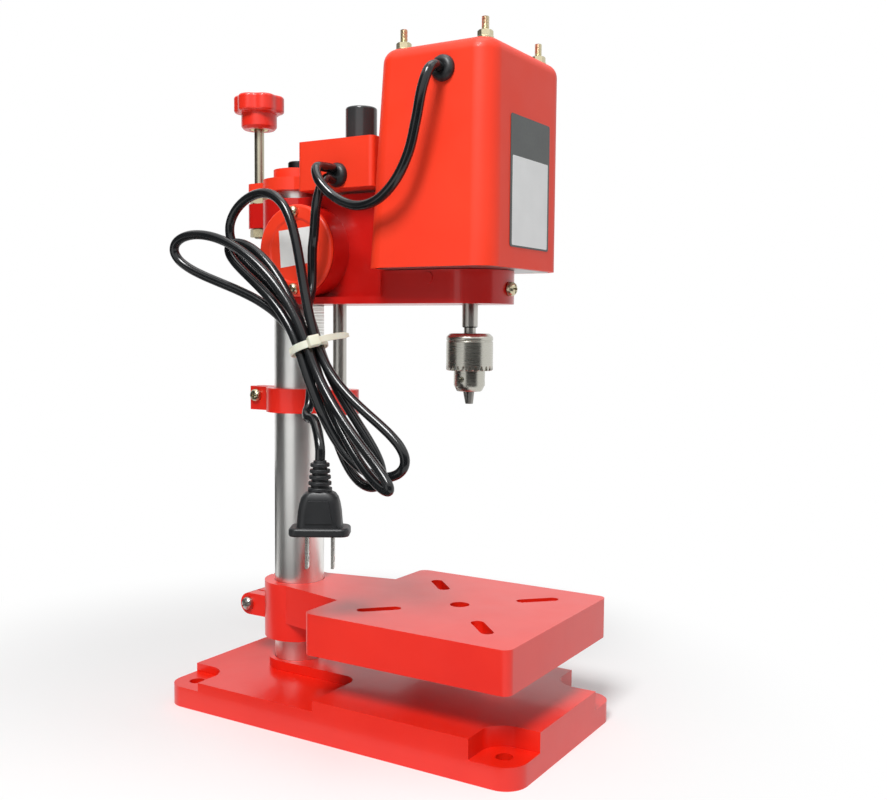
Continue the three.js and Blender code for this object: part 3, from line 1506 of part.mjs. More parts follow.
add('cover_gland', gland(coverHalfWidth, coverWall, -coverGlandY, coverGlandZ), rubber);
add('spindle', spindleShaft(), steel);
add('chuck_body', chuckBody(), steel);
add('chuck_sleeve', chuckSleeve(), steel);
for (let k = 0; k < jawCount; k += 1) add(`chuck_jaw_${k + 1}`, chuckJaw(k), steel);
add('table', tableBody(), redCasting);
add('table_bolt', tableBolt(), steel);
add('table_nut', tableNut(), steel);
add('motor_lead', tube(curveThrough(leadPoints), leadRadius, 8, 22), rubber);
add('mains_cord', tube(curveThrough(cordPoints), cordRadius, 8, 14), rubber);

const hank = curveThrough(hankPoints());
const hankTube = loopTips.length * hankSteps + 4;
console.log('least gap of the hank to itself:', leastGap(hank.getPoints(hankTube * 3), cordDiameter).toFixed(2), 'mm');
add('cord_hank', tube(hank, cordRadius, 6, hankTube), rubber);
add('cord_tie', cordTie(), nylon);
add('plug_lead', tube(curveThrough(tailPoints), cordRadius, 8, 10), rubber);
add('plug', plugBody(), rubber);
add('plug_blade_1', plugBlade(-1), brass);
add('plug_blade_2', plugBlade(1), brass);

export default model;
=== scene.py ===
# %% [markdown]
# # Mini bench drill press
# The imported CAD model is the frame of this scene: every rigid body, joint and size is already there.
# This script dresses it. Each casting, rod, screw and cord is built again with round edges and its own
# finish, placed by the same measures as the CAD, and then rides on the body that carries it.

# %% Frame and measures
import math

import bmesh
import bpy
import numpy as np
from mathutils import Matrix, Vector


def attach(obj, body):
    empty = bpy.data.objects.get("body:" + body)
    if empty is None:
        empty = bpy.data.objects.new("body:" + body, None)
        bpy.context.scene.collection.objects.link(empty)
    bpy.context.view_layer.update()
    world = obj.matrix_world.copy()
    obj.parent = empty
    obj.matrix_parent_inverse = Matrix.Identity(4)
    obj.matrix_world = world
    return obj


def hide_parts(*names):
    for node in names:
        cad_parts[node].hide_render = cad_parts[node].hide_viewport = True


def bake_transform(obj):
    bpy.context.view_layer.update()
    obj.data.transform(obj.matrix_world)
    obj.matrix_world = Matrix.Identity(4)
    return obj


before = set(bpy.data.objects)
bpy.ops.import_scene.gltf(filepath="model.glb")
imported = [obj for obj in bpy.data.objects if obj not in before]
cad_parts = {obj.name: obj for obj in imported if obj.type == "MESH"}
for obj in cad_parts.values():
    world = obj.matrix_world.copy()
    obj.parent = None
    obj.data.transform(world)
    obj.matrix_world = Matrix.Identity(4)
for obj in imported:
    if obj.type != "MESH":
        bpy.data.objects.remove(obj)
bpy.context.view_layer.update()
MM = 0.001

# %% [markdown]
# ## Camera
# The photo was taken from the left front, a little above the table and about 0.6 m from the machine.
# A fit of edges and corners gave the camera's place, the way it looks and its lens, so the render and the
# photo can be laid over each other.

# %% Camera
CAMERA_PLACE = (-0.499504, -0.405568, 0.2252)
CAMERA_YAW = math.radians(58.791)
CAMERA_PITCH = math.radians(3.968)
CAMERA_ROLL = math.radians(0.467)
CAMERA_LENS = 42.457
CAMERA_FILM = 36


def aim_camera():
    ahead = Vector((
        math.sin(CAMERA_YAW) * math.cos(CAMERA_PITCH),
        math.cos(CAMERA_YAW) * math.cos(CAMERA_PITCH),
        -math.sin(CAMERA_PITCH),
    ))
    level = Vector((math.cos(CAMERA_YAW), -math.sin(CAMERA_YAW), 0))
    above = level.cross(ahead)
    right = level * math.cos(CAMERA_ROLL) + above * math.sin(CAMERA_ROLL)
    up = above * math.cos(CAMERA_ROLL) - level * math.sin(CAMERA_ROLL)
    turn = Matrix((right, up, -ahead)).transposed()
    data = bpy.data.cameras.new("photo_camera")
    data.lens = CAMERA_LENS
    data.sensor_width = CAMERA_FILM
    data.clip_start = 0.01
    camera = bpy.data.objects.new("photo_camera", data)
    camera.matrix_world = Matrix.Translation(CAMERA_PLACE) @ turn.to_4x4()
    bpy.context.scene.collection.objects.link(camera)
    bpy.context.scene.camera = camera
    bpy.context.scene.view_settings.view_transform = "Standard"
    return ahead, right


ahead, right = aim_camera()
print("camera looks along", [round(x, 3) for x in ahead])

# %% [markdown]
# ## Finishes
# A finish is one Principled shader with its plain numbers on its own sockets, and small nodes that vary the
# colour, the roughness and the height. Every pattern reads Object coordinates. The pieces all keep their
# origin at zero, so a grain has the same size on each of them. Noises are given in cells per metre.

# %% Shader helpers
NOISE_LOW = 0.1
NOISE_HIGH = 0.9
SHINIER = 0.85
DULLER = 1.2


def new_finish(name, roughness, metallic=0.0, **more):
    finish = bpy.data.materials.new(name)
    finish.use_nodes = True
    shader = finish.node_tree.nodes["Principled BSDF"]
    shader.inputs["Roughness"].default_value = roughness
    shader.inputs["Metallic"].default_value = metallic
    for socket, value in more.items():
        shader.inputs[socket.replace("_", " ")].default_value = value
    return finish


def node(finish, kind, **values):
    made = finish.node_tree.nodes.new(kind)
    for key, value in values.items():
        if key in made.inputs:
            made.inputs[key].default_value = value
        else:
            setattr(made, key, value)
    return made


def link(finish, start, end):
    finish.node_tree.links.new(start, end)


def grain(finish, per_metre, stretch=(1, 1, 1), detail=3.0):
    """Noise in object space: per_metre cells along each axis, times stretch."""
    place = node(finish, "ShaderNodeTexCoord")
    scale = node(finish, "ShaderNodeMapping")
    scale.inputs["Scale"].default_value = stretch
    noise = node(finish, "ShaderNodeTexNoise", Scale=per_metre, Detail=detail)
    link(finish, place.outputs["Object"], scale.inputs["Vector"])
    link(finish, scale.outputs["Vector"], noise.inputs["Vector"])
    return noise.outputs["Fac"]


def vary_colour(finish, share, dark, light, low=0.3, high=0.7):
    ramp = node(finish, "ShaderNodeValToRGB")
    ramp.color_ramp.elements[0].position = low
    ramp.color_ramp.elements[1].position = high
    ramp.color_ramp.elements[0].color = (*dark, 1)
    ramp.color_ramp.elements[1].color = (*light, 1)
    link(finish, share, ramp.inputs["Fac"])
    shader = finish.node_tree.nodes["Principled BSDF"]
    link(finish, ramp.outputs["Color"], shader.inputs["Base Color"])
    return ramp


def vary_roughness(finish, share, low, high):
    span = node(finish, "ShaderNodeMapRange")
    span.inputs["From Min"].default_value = NOISE_LOW
    span.inputs["From Max"].default_value = NOISE_HIGH
    span.inputs["To Min"].default_value = low
    span.inputs["To Max"].default_value = high
    link(finish, share, span.inputs["Value"])
    shader = finish.node_tree.nodes["Principled BSDF"]
    link(finish, span.outputs["Result"], shader.inputs["Roughness"])


def add_height(finish, *layers):
    """Each layer is (share, height in mm); they go over each other as bumps."""
    shader = finish.node_tree.nodes["Principled BSDF"]
    before = None
    for share, height in layers:
        bump = node(finish, "ShaderNodeBump", Strength=1.0, Distance=height * MM)
        link(finish, share, bump.inputs["Height"])
        if before is not None:
            link(finish, before.outputs["Normal"], bump.inputs["Normal"])
        before = bump
    link(finish, before.outputs["Normal"], shader.inputs["Normal"])


# %% [markdown]
# ## Red paints
# The machine wears three reds. The motor cover, the control box, its floor and the spring pot's cover have an
# even orange red coat on smooth metal. The base, the clamp and the table are a deeper, glossier red over a
# cast skin that is never quite flat, so reflections waver. The drilling head is a darker crimson, and part of
# that darkness is painted shade: the shade that the motor cover throws on the head's web and nose is laid into
# its paint. The star knob is red plastic with the same gloss.

# %% Red paints
CLOUDS = 22
SHEEN = 60
CAST_WAVES = 55
PEEL_GRAIN = 900
COAT_ROUGHNESS = 0.09


def paint(name, dark, light, roughness, coat, waviness, peel):
    """The noises above are in cells per metre; waviness and peel are their heights in millimetres."""
    finish = new_finish(name, roughness, Coat_Weight=coat, Coat_Roughness=COAT_ROUGHNESS)
    clouds = grain(finish, CLOUDS, detail=4)
    vary_colour(finish, clouds, dark, light)
    vary_roughness(finish, grain(finish, SHEEN, detail=1), roughness, roughness * DULLER)
    add_height(
        finish, (grain(finish, CAST_WAVES, detail=2), waviness), (grain(finish, PEEL_GRAIN, detail=2), peel),
    )
    return finish


cover_paint = paint("cover_paint", (0.86, 0.034, 0.007), (0.90, 0.042, 0.009), 0.46, 0.10, 0.06, 0.004)
casting_paint = paint("casting_paint", (0.80, 0.014, 0.004), (0.86, 0.020, 0.006), 0.30, 0.2, 0.10, 0.008)
# The head's dark crimson is partly its paint and partly painted shade, for the shade under the motor cover.
head_paint_with_painted_shade = paint("head_paint_with_painted_shade", (0.52, 0.006, 0.004), (0.60, 0.009, 0.006), 0.28, 0.3, 0.10, 0.008)
knob_red = paint("knob_red", (0.70, 0.018, 0.008), (0.80, 0.026, 0.010), 0.34, 0.3, 0.03, 0.004)

# %% [markdown]
# ## Bare metals
# Turned and ground steel carries fine rings round its axis. A noise that is squeezed along Z and stretched
# across it gives those rings, in the roughness and a slight height, and slow stains vary the colour. The
# screws wear a pale zinc plating and the plug's blades nickel.

# %% Bare metals
STAINS = 18
EVEN = (1, 1, 1)


def metal(name, dark, light, roughness, per_metre=40, stretch=(1, 1, 60), height=0.0006):
    finish = new_finish(name, roughness, metallic=1.0)
    rings = grain(finish, per_metre, stretch, detail=3)
    stains = grain(finish, STAINS, detail=3)
    vary_colour(finish, stains, dark, light, 0.15, 0.85)
    vary_roughness(finish, rings, roughness * SHINIER, roughness * DULLER)
    add_height(finish, (rings, height))
    return finish


ground_steel = metal("ground_steel", (0.78, 0.78, 0.75), (0.88, 0.88, 0.86), 0.32)
rod_steel = metal("rod_steel", (0.46, 0.45, 0.42), (0.54, 0.53, 0.49), 0.32)
rod_brassy = metal("rod_brassy", (0.40, 0.37, 0.28), (0.50, 0.47, 0.36), 0.34)
chuck_steel = metal("chuck_steel", (0.47, 0.46, 0.41), (0.56, 0.55, 0.49), 0.27)
jaw_steel = metal("jaw_steel", (0.24, 0.23, 0.21), (0.32, 0.31, 0.29), 0.30)
plate_steel = metal("plate_steel", (0.40, 0.40, 0.40), (0.55, 0.55, 0.54), 0.38, 120, EVEN, 0.003)
zinc_yellow = metal("zinc_yellow", (0.48, 0.41, 0.24), (0.66, 0.61, 0.44), 0.28, 300, EVEN, 0.003)
nickel_plate = metal("nickel_plate", (0.62, 0.60, 0.55), (0.74, 0.72, 0.67), 0.26, 260, EVEN, 0.002)
brass = metal("brass", (0.55, 0.38, 0.12), (0.70, 0.52, 0.22), 0.30, 260, EVEN, 0.003)
bronze = metal("bronze", (0.42, 0.25, 0.10), (0.55, 0.36, 0.16), 0.36, 260, EVEN, 0.003)
aluminium = metal("aluminium", (0.50, 0.51, 0.52), (0.66, 0.67, 0.68), 0.42, 220, EVEN, 0.010)
black_steel = metal("black_steel", (0.016, 0.016, 0.018), (0.040, 0.040, 0.042), 0.42, 240, EVEN, 0.004)

# %% [markdown]
# ## Plastics, rubber and paper
# The cord is glossy black vinyl, the plug and the glands are duller, and the tie is milky nylon. The speed
# knob, the lever grip and the fan are hard black plastic. The labels are left bare.

# %% Plastics, rubber and paper
MOTTLE = 60


def plastic(name, dark, light, roughness, per_metre=500, height=0.006, **more):
    finish = new_finish(name, roughness, **more)
    vary_colour(finish, grain(finish, MOTTLE, detail=4), dark, light)
    speckle = grain(finish, per_metre, detail=3)
    vary_roughness(finish, speckle, roughness * SHINIER, roughness * DULLER)
    add_height(finish, (speckle, height))
    return finish


cord_vinyl = plastic("cord_vinyl", (0.006, 0.007, 0.008), (0.012, 0.013, 0.014), 0.17, 260, 0.004)
plug_vinyl = plastic("plug_vinyl", (0.010, 0.011, 0.012), (0.018, 0.019, 0.021), 0.42, 900, 0.012)
gland_rubber = plastic("gland_rubber", (0.010, 0.011, 0.012), (0.020, 0.021, 0.023), 0.40, 900, 0.010)
knob_black = plastic("knob_black", (0.030, 0.033, 0.034), (0.042, 0.046, 0.047), 0.20, 700, 0.006)
tie_nylon = plastic("tie_nylon", (0.66, 0.62, 0.48), (0.76, 0.73, 0.60), 0.40, 600, 0.006,
                    Subsurface_Weight=0.15)
board_green = plastic("board_green", (0.02, 0.11, 0.04), (0.04, 0.16, 0.06), 0.45)
label_dark = plastic("label_dark", (0.045, 0.052, 0.050), (0.060, 0.068, 0.066), 0.38, 700, 0.003)
label_white = plastic("label_white", (0.86, 0.87, 0.87), (0.92, 0.93, 0.93), 0.42, 700, 0.003)
sticker_paper = plastic("sticker_paper", (0.72, 0.72, 0.70), (0.80, 0.80, 0.78), 0.60, 900, 0.006)
print("finishes:", len(bpy.data.materials))

# %% [markdown]
# ## Cords
# The mains cord leaves the rubber gland of the control box, runs through a hank of three long loops above the
# tie and three below it, and ends in its plug. It is one cord, 5.2 mm thick, so it is one curve. The motor
# lead hangs slack between the two glands, because its upper end goes down with the head.
# The routes repeat the CAD's own points, so both follow the same line.

# %% Routes of the cords
LEAD_DIAMETER = 5.3
CORD_DIAMETER = 5.2
LEAD_POINTS = [
    (-34, -51.5, 311.6), (-41, -51.5, 311.6), (-50, -52.5, 310), (-54, -57, 303), (-53, -66, 294),
    (-52, -79, 288.5), (-53, -93, 290), (-55, -106, 298.5), (-56, -115, 312), (-57, -120.5, 329),
    (-57.5, -124, 343), (-55.5, -126.5, 352), (-51, -127, 354.8), (-46.4, -127, 355),
]
MAINS_POINTS = [
    (-34, -51.5, 305.8), (-40, -51.5, 305.8), (-46, -52.7, 301.1), (-48.7, -51.6, 291.9),
    (-48.4, -49.6, 275.2), (-46.9, -47.3, 267.5), (-47.2, -47, 245.6), (-55.9, -51.3, 233.7),
]
TAIL_POINTS = [
    (-61, -57.2, 195.1), (-63.8, -58.5, 183.7), (-67.1, -59.5, 179.9), (-70, -62.7, 177.7),
    (-72.6, -68.6, 176.6), (-80, -78.3, 163.7), (-80, -78.3, 157.5),
]
WAIST = np.array((-61.0, -56.0, 214.0))
WAIST_LEAN = 0.38
WAIST_PITCH = 5.85
WAIST_RUN = 12
SLOT_SHARES = [(0.866, -0.5), (0.866, 0.5), (0, -1), (-0.866, 0.5), (0, 0), (-0.866, -0.5), (0, 1)]
LOOP_TIPS = [
    ((0, -37.1, -72.4), 15.4, 4.7), ((0, 49.1, 78.2), 37.3, -1.0), ((0, -55.1, -63.6), 19.4, 4.8),
    ((0, 51.0, 56.1), 10.7, -0.1), ((0, -59.5, -70.3), 7, -11.0), ((0, 82.4, 56.6), 19.9, -10.9),
]
HANK_STEPS = 20
LOOP_SPREAD = 0.65
ALONG = np.array((0, math.sin(WAIST_LEAN), math.cos(WAIST_LEAN)))
ACROSS = np.array((0, math.cos(WAIST_LEAN), -math.sin(WAIST_LEAN)))


def slot_point(index):
    depth, side = SLOT_SHARES[index]
    return np.array((depth * WAIST_PITCH, 0, 0)) + ACROSS * side * WAIST_PITCH


def hank_points():
    points = [slot_point(0) + ALONG * WAIST_RUN * share for share in (1, 0.5)]
    for index, (tip, width, bulge) in enumerate(LOOP_TIPS):
        start, end, reach = slot_point(index), slot_point(index + 1), np.array(tip, float)
        rise = reach @ ALONG
        swing = reach - ALONG * rise
        side = np.array((0, reach[2], -reach[1])) / np.linalg.norm(reach)
        if side @ ACROSS < 0:
            side = -side
        spread = -width * LOOP_SPREAD * np.sign((end - start) @ ACROSS)
        for step in range(0 if index == 0 else 1, HANK_STEPS + 1):
            t = step / HANK_STEPS
            out = math.sin(math.pi * t)
            share = t - math.sin(2 * math.pi * t) / (2 * math.pi)
            point = start + (end - start) * share + ALONG * rise * out + swing * out * out
            point = point + side * spread * math.sin(2 * math.pi * t) * out
            points.append(point + np.array((bulge * out * out, 0, 0)))
    points += [slot_point(len(LOOP_TIPS)) - ALONG * WAIST_RUN * share for share in (0.5, 1)]
    return [point + WAIST for point in points]


def curve_through(points, per_span):
    """Centripetal Catmull-Rom curve, the same one as the CAD's."""
    points = [np.array(p, float) for p in points]
    line = []
    for i in range(len(points) - 1):
        b, c = points[i], points[i + 1]
        a = points[i - 1] if i else 2 * b - c
        d = points[i + 2] if i + 2 < len(points) else 2 * c - b
        ab, bc, cd = (math.sqrt(np.linalg.norm(q - p)) for p, q in ((a, b), (b, c), (c, d)))
        start = ((b - a) / ab - (c - a) / (ab + bc) + (c - b) / bc) * bc
        end = ((c - b) / bc - (d - b) / (bc + cd) + (d - c) / cd) * bc
        for step in range(per_span):
            t = step / per_span
            line.append(
                b + start * t + (3 * (c - b) - 2 * start - end) * t ** 2 + (2 * (b - c) + start + end) * t ** 3
            )
    line.append(points[-1])
    return np.array(line)


def line_length(line):
    return float(np.linalg.norm(np.diff(line, axis=0), axis=1).sum())


LEAD_SPAN_STEPS = 10
CORD_SPAN_STEPS = 4
lead_line = curve_through(LEAD_POINTS, LEAD_SPAN_STEPS)
cord_line = curve_through(MAINS_POINTS + hank_points() + TAIL_POINTS, CORD_SPAN_STEPS)
print("lead", round(line_length(lead_line)), "mm, cord", round(line_length(cord_line)), "mm")

# %% [markdown]
# ## Cord pieces
# The cord is a curve with a round bevel. The lead bends as the head moves in the machine; here the same
# kind of curve is turned into a mesh.

# %% Cord pieces
ROUND_SIDES = 7


def cord_curve(name, line, diameter, finish):
    data = bpy.data.curves.new(name, "CURVE")
    data.dimensions = "3D"
    data.bevel_depth = diameter / 2 * MM
    data.bevel_resolution = ROUND_SIDES
    data.use_fill_caps = True
    data.twist_mode = "MINIMUM"
    spline = data.splines.new("POLY")
    spline.points.add(len(line) - 1)
    for point, place in zip(spline.points, line):
        point.co = (*(place * MM), 1)
    data.materials.append(finish)
    cord = bpy.data.objects.new(name, data)
    bpy.context.scene.collection.objects.link(cord)
    return cord


mains_cord = cord_curve("mains_cord_and_hank", cord_line, CORD_DIAMETER, cord_vinyl)
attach(mains_cord, "frame")
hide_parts("mains_cord", "cord_hank", "plug_lead")

lead_curve = cord_curve("motor_lead_curve", lead_line, LEAD_DIAMETER, cord_vinyl)
graph = bpy.context.evaluated_depsgraph_get()
lead_mesh = bpy.data.meshes.new_from_object(lead_curve.evaluated_get(graph))
bpy.data.objects.remove(lead_curve)
motor_lead = bpy.data.objects.new("motor_lead_slack", lead_mesh)
bpy.context.scene.collection.objects.link(motor_lead)
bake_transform(motor_lead)
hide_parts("motor_lead")
print("cord pieces made")

# %% [markdown]
# ## Tools for solid pieces
# All shapes are written in millimetres and turned into metres at the end. An outline is lofted through
# heights, and its edge is rounded by drawing the outline in along a quarter circle. Pieces are joined and cut
# with Boolean modifiers, then a small bevel breaks every sharp edge, as paint and casting do.

# %% Shapes in millimetres
ROUND = 96
WELD = 0.0005
CUT_WELD = 0.002
EASED_SHARE = 0.45
SHARP_ANGLE = 34
GAP = 0.3
PAST = 2.0


def as_object(name, points, faces):
    mesh = bpy.data.meshes.new(name)
    mesh.from_pydata([tuple(map(float, p)) for p in points], [], faces)
    shell = bmesh.new()
    shell.from_mesh(mesh)
    bmesh.ops.remove_doubles(shell, verts=shell.verts, dist=WELD)
    bmesh.ops.recalc_face_normals(shell, faces=shell.faces)
    shell.to_mesh(mesh)
    shell.free()
    made = bpy.data.objects.new(name, mesh)
    bpy.context.scene.collection.objects.link(made)
    return made


def loft(rings, closed=False):
    """Skins rings of equally many points; the ends are capped unless the rings close on themselves."""
    count = len(rings[0])
    points = [p for ring in rings for p in ring]
    faces = []
    for k in range(len(rings) if closed else len(rings) - 1):
        a, b = k * count, (k + 1) % len(rings) * count
        faces += [(a + i, a + (i + 1) % count, b + (i + 1) % count, b + i) for i in range(count)]
    if not closed:
        faces.append(tuple(range(count))[::-1])
        faces.append(tuple(range((len(rings) - 1) * count, len(rings) * count)))
    return as_object("shape", points, faces)


def arc(x, y, radius, start, end, steps):
    turns = [math.radians(start + (end - start) * i / steps) for i in range(steps + 1)]
    return [(x + radius * math.cos(t), y + radius * math.sin(t)) for t in turns]


def rect(left, right, front, rear, radius, steps=10):
    return (
        arc(right - radius, rear - radius, radius, 0, 90, steps)
        + arc(left + radius, rear - radius, radius, 90, 180, steps)
        + arc(left + radius, front + radius, radius, 180, 270, steps)
        + arc(right - radius, front + radius, radius, 270, 360, steps)
    )


def disc(radius, x=0, y=0, steps=ROUND):
    return arc(x, y, radius, 0, 360, steps)[:-1]


def drawn_in(outline, amount):
    """The outline moved inwards along its own corners."""
    points = np.array(outline)
    before = points - np.roll(points, 1, 0)
    after = np.roll(points, -1, 0) - points
    before /= np.maximum(np.linalg.norm(before, axis=1), 1e-9)[:, None]
    after /= np.maximum(np.linalg.norm(after, axis=1), 1e-9)[:, None]
    bisector = before + after
    bisector /= np.linalg.norm(bisector, axis=1)[:, None]
    inward = np.stack((-bisector[:, 1], bisector[:, 0]), 1)
    stretch = 1 / np.maximum(np.sqrt((1 + (before * after).sum(1)) / 2), 0.4)
    return points + inward * (amount * stretch)[:, None]


def slab(outline, bottom, top, edge=0, steps=6, foot=0):
    """A block with this outline; edge rounds the upper rim and foot the lower one."""
    outline = [p for i, p in enumerate(outline) if math.dist(p, outline[i - 1]) > 1e-4]
    quarter = [math.pi / 2 * i / steps for i in range(steps + 1)]
    levels = []
    if foot:
        levels += [(foot * (1 - math.sin(t)), bottom + foot * (1 - math.cos(t))) for t in quarter]
    else:
        levels.append((0, bottom))
    if edge:
        levels += [(edge * (1 - math.cos(t)), top - edge * (1 - math.sin(t))) for t in quarter]
    else:
        levels.append((0, top))
    return loft([[(x, y, z) for x, y in drawn_in(outline, inset)] for inset, z in levels])


def turned(profile, x=0, y=0, sides=ROUND, edge=0.0):
    """A lathe piece from (radius, height) pairs; edge rounds its corners. A ring's profile closes on itself."""
    if edge:
        profile = eased(profile, edge)
    closed = profile[0] == profile[-1] and profile[0][0] > 0
    if closed:
        profile = profile[:-1]
    points, faces, rows = [], [], []
    for radius, height in profile:
        if radius < 1e-6:
            rows.append([len(points)] * sides)
            points.append((x, y, height))
            continue
        rows.append(list(range(len(points), len(points) + sides)))
        for i in range(sides):
            turn = 2 * math.pi * i / sides
            points.append((x + radius * math.cos(turn), y + radius * math.sin(turn), height))
    for k in range(len(rows) if closed else len(rows) - 1):
        low, high = rows[k], rows[(k + 1) % len(rows)]
        for i in range(sides):
            j = (i + 1) % sides
            corners = list(dict.fromkeys((low[i], low[j], high[j], high[i])))
            if len(corners) > 2:
                faces.append(corners)
    return as_object("turned", points, faces)


def eased(profile, edge, steps=4):
    """The profile with each of its corners rounded."""
    ring = profile[0] == profile[-1] and profile[0][0] > 0
    points = [np.array(p, float) for p in (profile[:-1] if ring else profile)]
    out = []
    for i, corner in enumerate(points):
        if not ring and i in (0, len(points) - 1):
            out.append(tuple(corner))
            continue
        back, on = points[i - 1] - corner, points[(i + 1) % len(points)] - corner
        reach = min(edge, EASED_SHARE * np.linalg.norm(back), EASED_SHARE * np.linalg.norm(on))
        start = corner + back / np.linalg.norm(back) * reach
        end = corner + on / np.linalg.norm(on) * reach
        for step in range(steps + 1):
            t = step / steps
            out.append(tuple(start * (1 - t) ** 2 + corner * 2 * t * (1 - t) + end * t ** 2))
    return out + [out[0]] if ring else out


def block(left, right, front, rear, bottom, top):
    return slab([(left, front), (right, front), (right, rear), (left, rear)], bottom, top)


def cylinder(radius, bottom, top, x=0, y=0, sides=ROUND, edge=0.0):
    return turned([(0, bottom), (radius, bottom), (radius, top), (0, top)], x, y, sides, edge)


def hole(radius, bottom, top, x=0, y=0, sides=ROUND):
    """What a rod of this radius needs cut out of a wall between these two heights."""
    return cylinder(radius + GAP, bottom - PAST, top + PAST, x, y, sides)


# %% Moving, joining and finishing shapes
def moved(shape, matrix):
    shape.data.transform(matrix)
    if matrix.determinant() < 0:
        shape.data.flip_normals()
    return shape


def shifted(shape, x=0, y=0, z=0):
    return moved(shape, Matrix.Translation((x, y, z)))


def spun(shape, angle, axis="Z"):
    return moved(shape, Matrix.Rotation(angle, 4, axis))


def along_x(shape, y, z):
    """Local heights become distances along +X."""
    return shifted(spun(shape, math.pi / 2, "Y"), 0, y, z)


def along_front(shape, x, z):
    """Local heights become distances along -Y."""
    return shifted(spun(shape, math.pi / 2, "X"), x, 0, z)


def freeze(shape):
    graph = bpy.context.evaluated_depsgraph_get()
    mesh = bpy.data.meshes.new_from_object(shape.evaluated_get(graph))
    shape.modifiers.clear()
    old, shape.data = shape.data, mesh
    bpy.data.meshes.remove(old)
    return shape


def combine(body, tools, operation):
    for tool in tools:
        step = body.modifiers.new(operation, "BOOLEAN")
        step.operation = operation
        step.solver = "MANIFOLD"
        step.object = tool
    freeze(body)
    for tool in tools:
        bpy.data.objects.remove(tool)
    return body


def join(body, *tools):
    return combine(body, tools, "UNION")


def cut(body, *tools):
    return combine(body, tools, "DIFFERENCE")


def common(body, *tools):
    return combine(body, tools, "INTERSECT")


def break_edges(shape, width):
    tidy = bmesh.new()
    tidy.from_mesh(shape.data)
    bmesh.ops.remove_doubles(tidy, verts=tidy.verts, dist=CUT_WELD)
    bmesh.ops.dissolve_limit(tidy, angle_limit=math.radians(1), verts=tidy.verts, edges=tidy.edges)
    tidy.to_mesh(shape.data)
    tidy.free()
    bevel = shape.modifiers.new("edges", "BEVEL")
    bevel.width = width
    bevel.segments = 3
    bevel.limit_method = "ANGLE"
    bevel.angle_limit = math.radians(SHARP_ANGLE)
    bevel.use_clamp_overlap = True
    bevel.miter_outer = "MITER_ARC"
    return freeze(shape)


def finished(shape, name, body, finish, nodes=(), edge=0.0, smooth=SHARP_ANGLE):
    if edge:
        break_edges(shape, edge)
    shape.name = name
    shape.data.name = name
    shape.data.transform(Matrix.Scale(MM, 4))
    shape.data.shade_smooth()
    shape.data.set_sharp_from_angle(angle=math.radians(smooth))
    weights = shape.modifiers.new("weights", "WEIGHTED_NORMAL")
    weights.keep_sharp = True
    freeze(shape)
    shape.data.materials.clear()
    shape.data.materials.append(finish)
    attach(shape, body)
    if nodes:
        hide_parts(*nodes)
    print(name, len(shape.data.polygons), "faces")
    return shape


# %% [markdown]
# ## Pieces that repeat
# Teeth, ribs and threads repeat by a rule, so small node trees make them. One tree sets copies of a shape in a
# row or in a ring. The other winds a thread round a rod.

# %% Node trees for repeats and threads
CREST = 0.78
CREST_SOFT = 0.2
THREAD_RINGS = 8


def new_tree(name, *inputs):
    tree = bpy.data.node_groups.new(name, "GeometryNodeTree")
    tree.interface.new_socket("Geometry", in_out="INPUT", socket_type="NodeSocketGeometry")
    for label, kind in inputs:
        tree.interface.new_socket(label, in_out="INPUT", socket_type="NodeSocket" + kind)
    tree.interface.new_socket("Geometry", in_out="OUTPUT", socket_type="NodeSocketGeometry")
    return tree, tree.nodes.new("NodeGroupInput")


def wire(tree, *pairs):
    for start, end in pairs:
        tree.links.new(start, end)


def maths(tree, operation, *values):
    made = tree.nodes.new("ShaderNodeMath")
    made.operation = operation
    for socket, value in zip(made.inputs, values):
        if isinstance(value, (int, float)):
            socket.default_value = value
        else:
            tree.links.new(value, socket)
    return made.outputs[0]


def close_tree(tree, start, geometry):
    """Every tree ends in real geometry that wears its finish."""
    real = tree.nodes.new("GeometryNodeRealizeInstances")
    wear = tree.nodes.new("GeometryNodeSetMaterial")
    end = tree.nodes.new("NodeGroupOutput")
    wire(
        tree, (geometry, real.inputs[0]), (real.outputs[0], wear.inputs["Geometry"]),
        (start.outputs["Material"], wear.inputs["Material"]), (wear.outputs[0], end.inputs[0]),
    )
    return tree


def repeat_tree():
    tree, start = new_tree(
        "repeat", ("Count", "Int"), ("Step", "Vector"), ("Turn", "Float"), ("Material", "Material"),
    )
    line = tree.nodes.new("GeometryNodeMeshLine")
    line.mode = "OFFSET"
    index = tree.nodes.new("GeometryNodeInputIndex")
    turn = tree.nodes.new("ShaderNodeCombineXYZ")
    copies = tree.nodes.new("GeometryNodeInstanceOnPoints")
    wire(
        tree, (start.outputs["Count"], line.inputs["Count"]), (start.outputs["Step"], line.inputs["Offset"]),
        (maths(tree, "MULTIPLY", index.outputs[0], start.outputs["Turn"]), turn.inputs["Z"]),
        (line.outputs[0], copies.inputs["Points"]), (start.outputs["Geometry"], copies.inputs["Instance"]),
        (turn.outputs[0], copies.inputs["Rotation"]),
    )
    return close_tree(tree, start, copies.outputs[0])


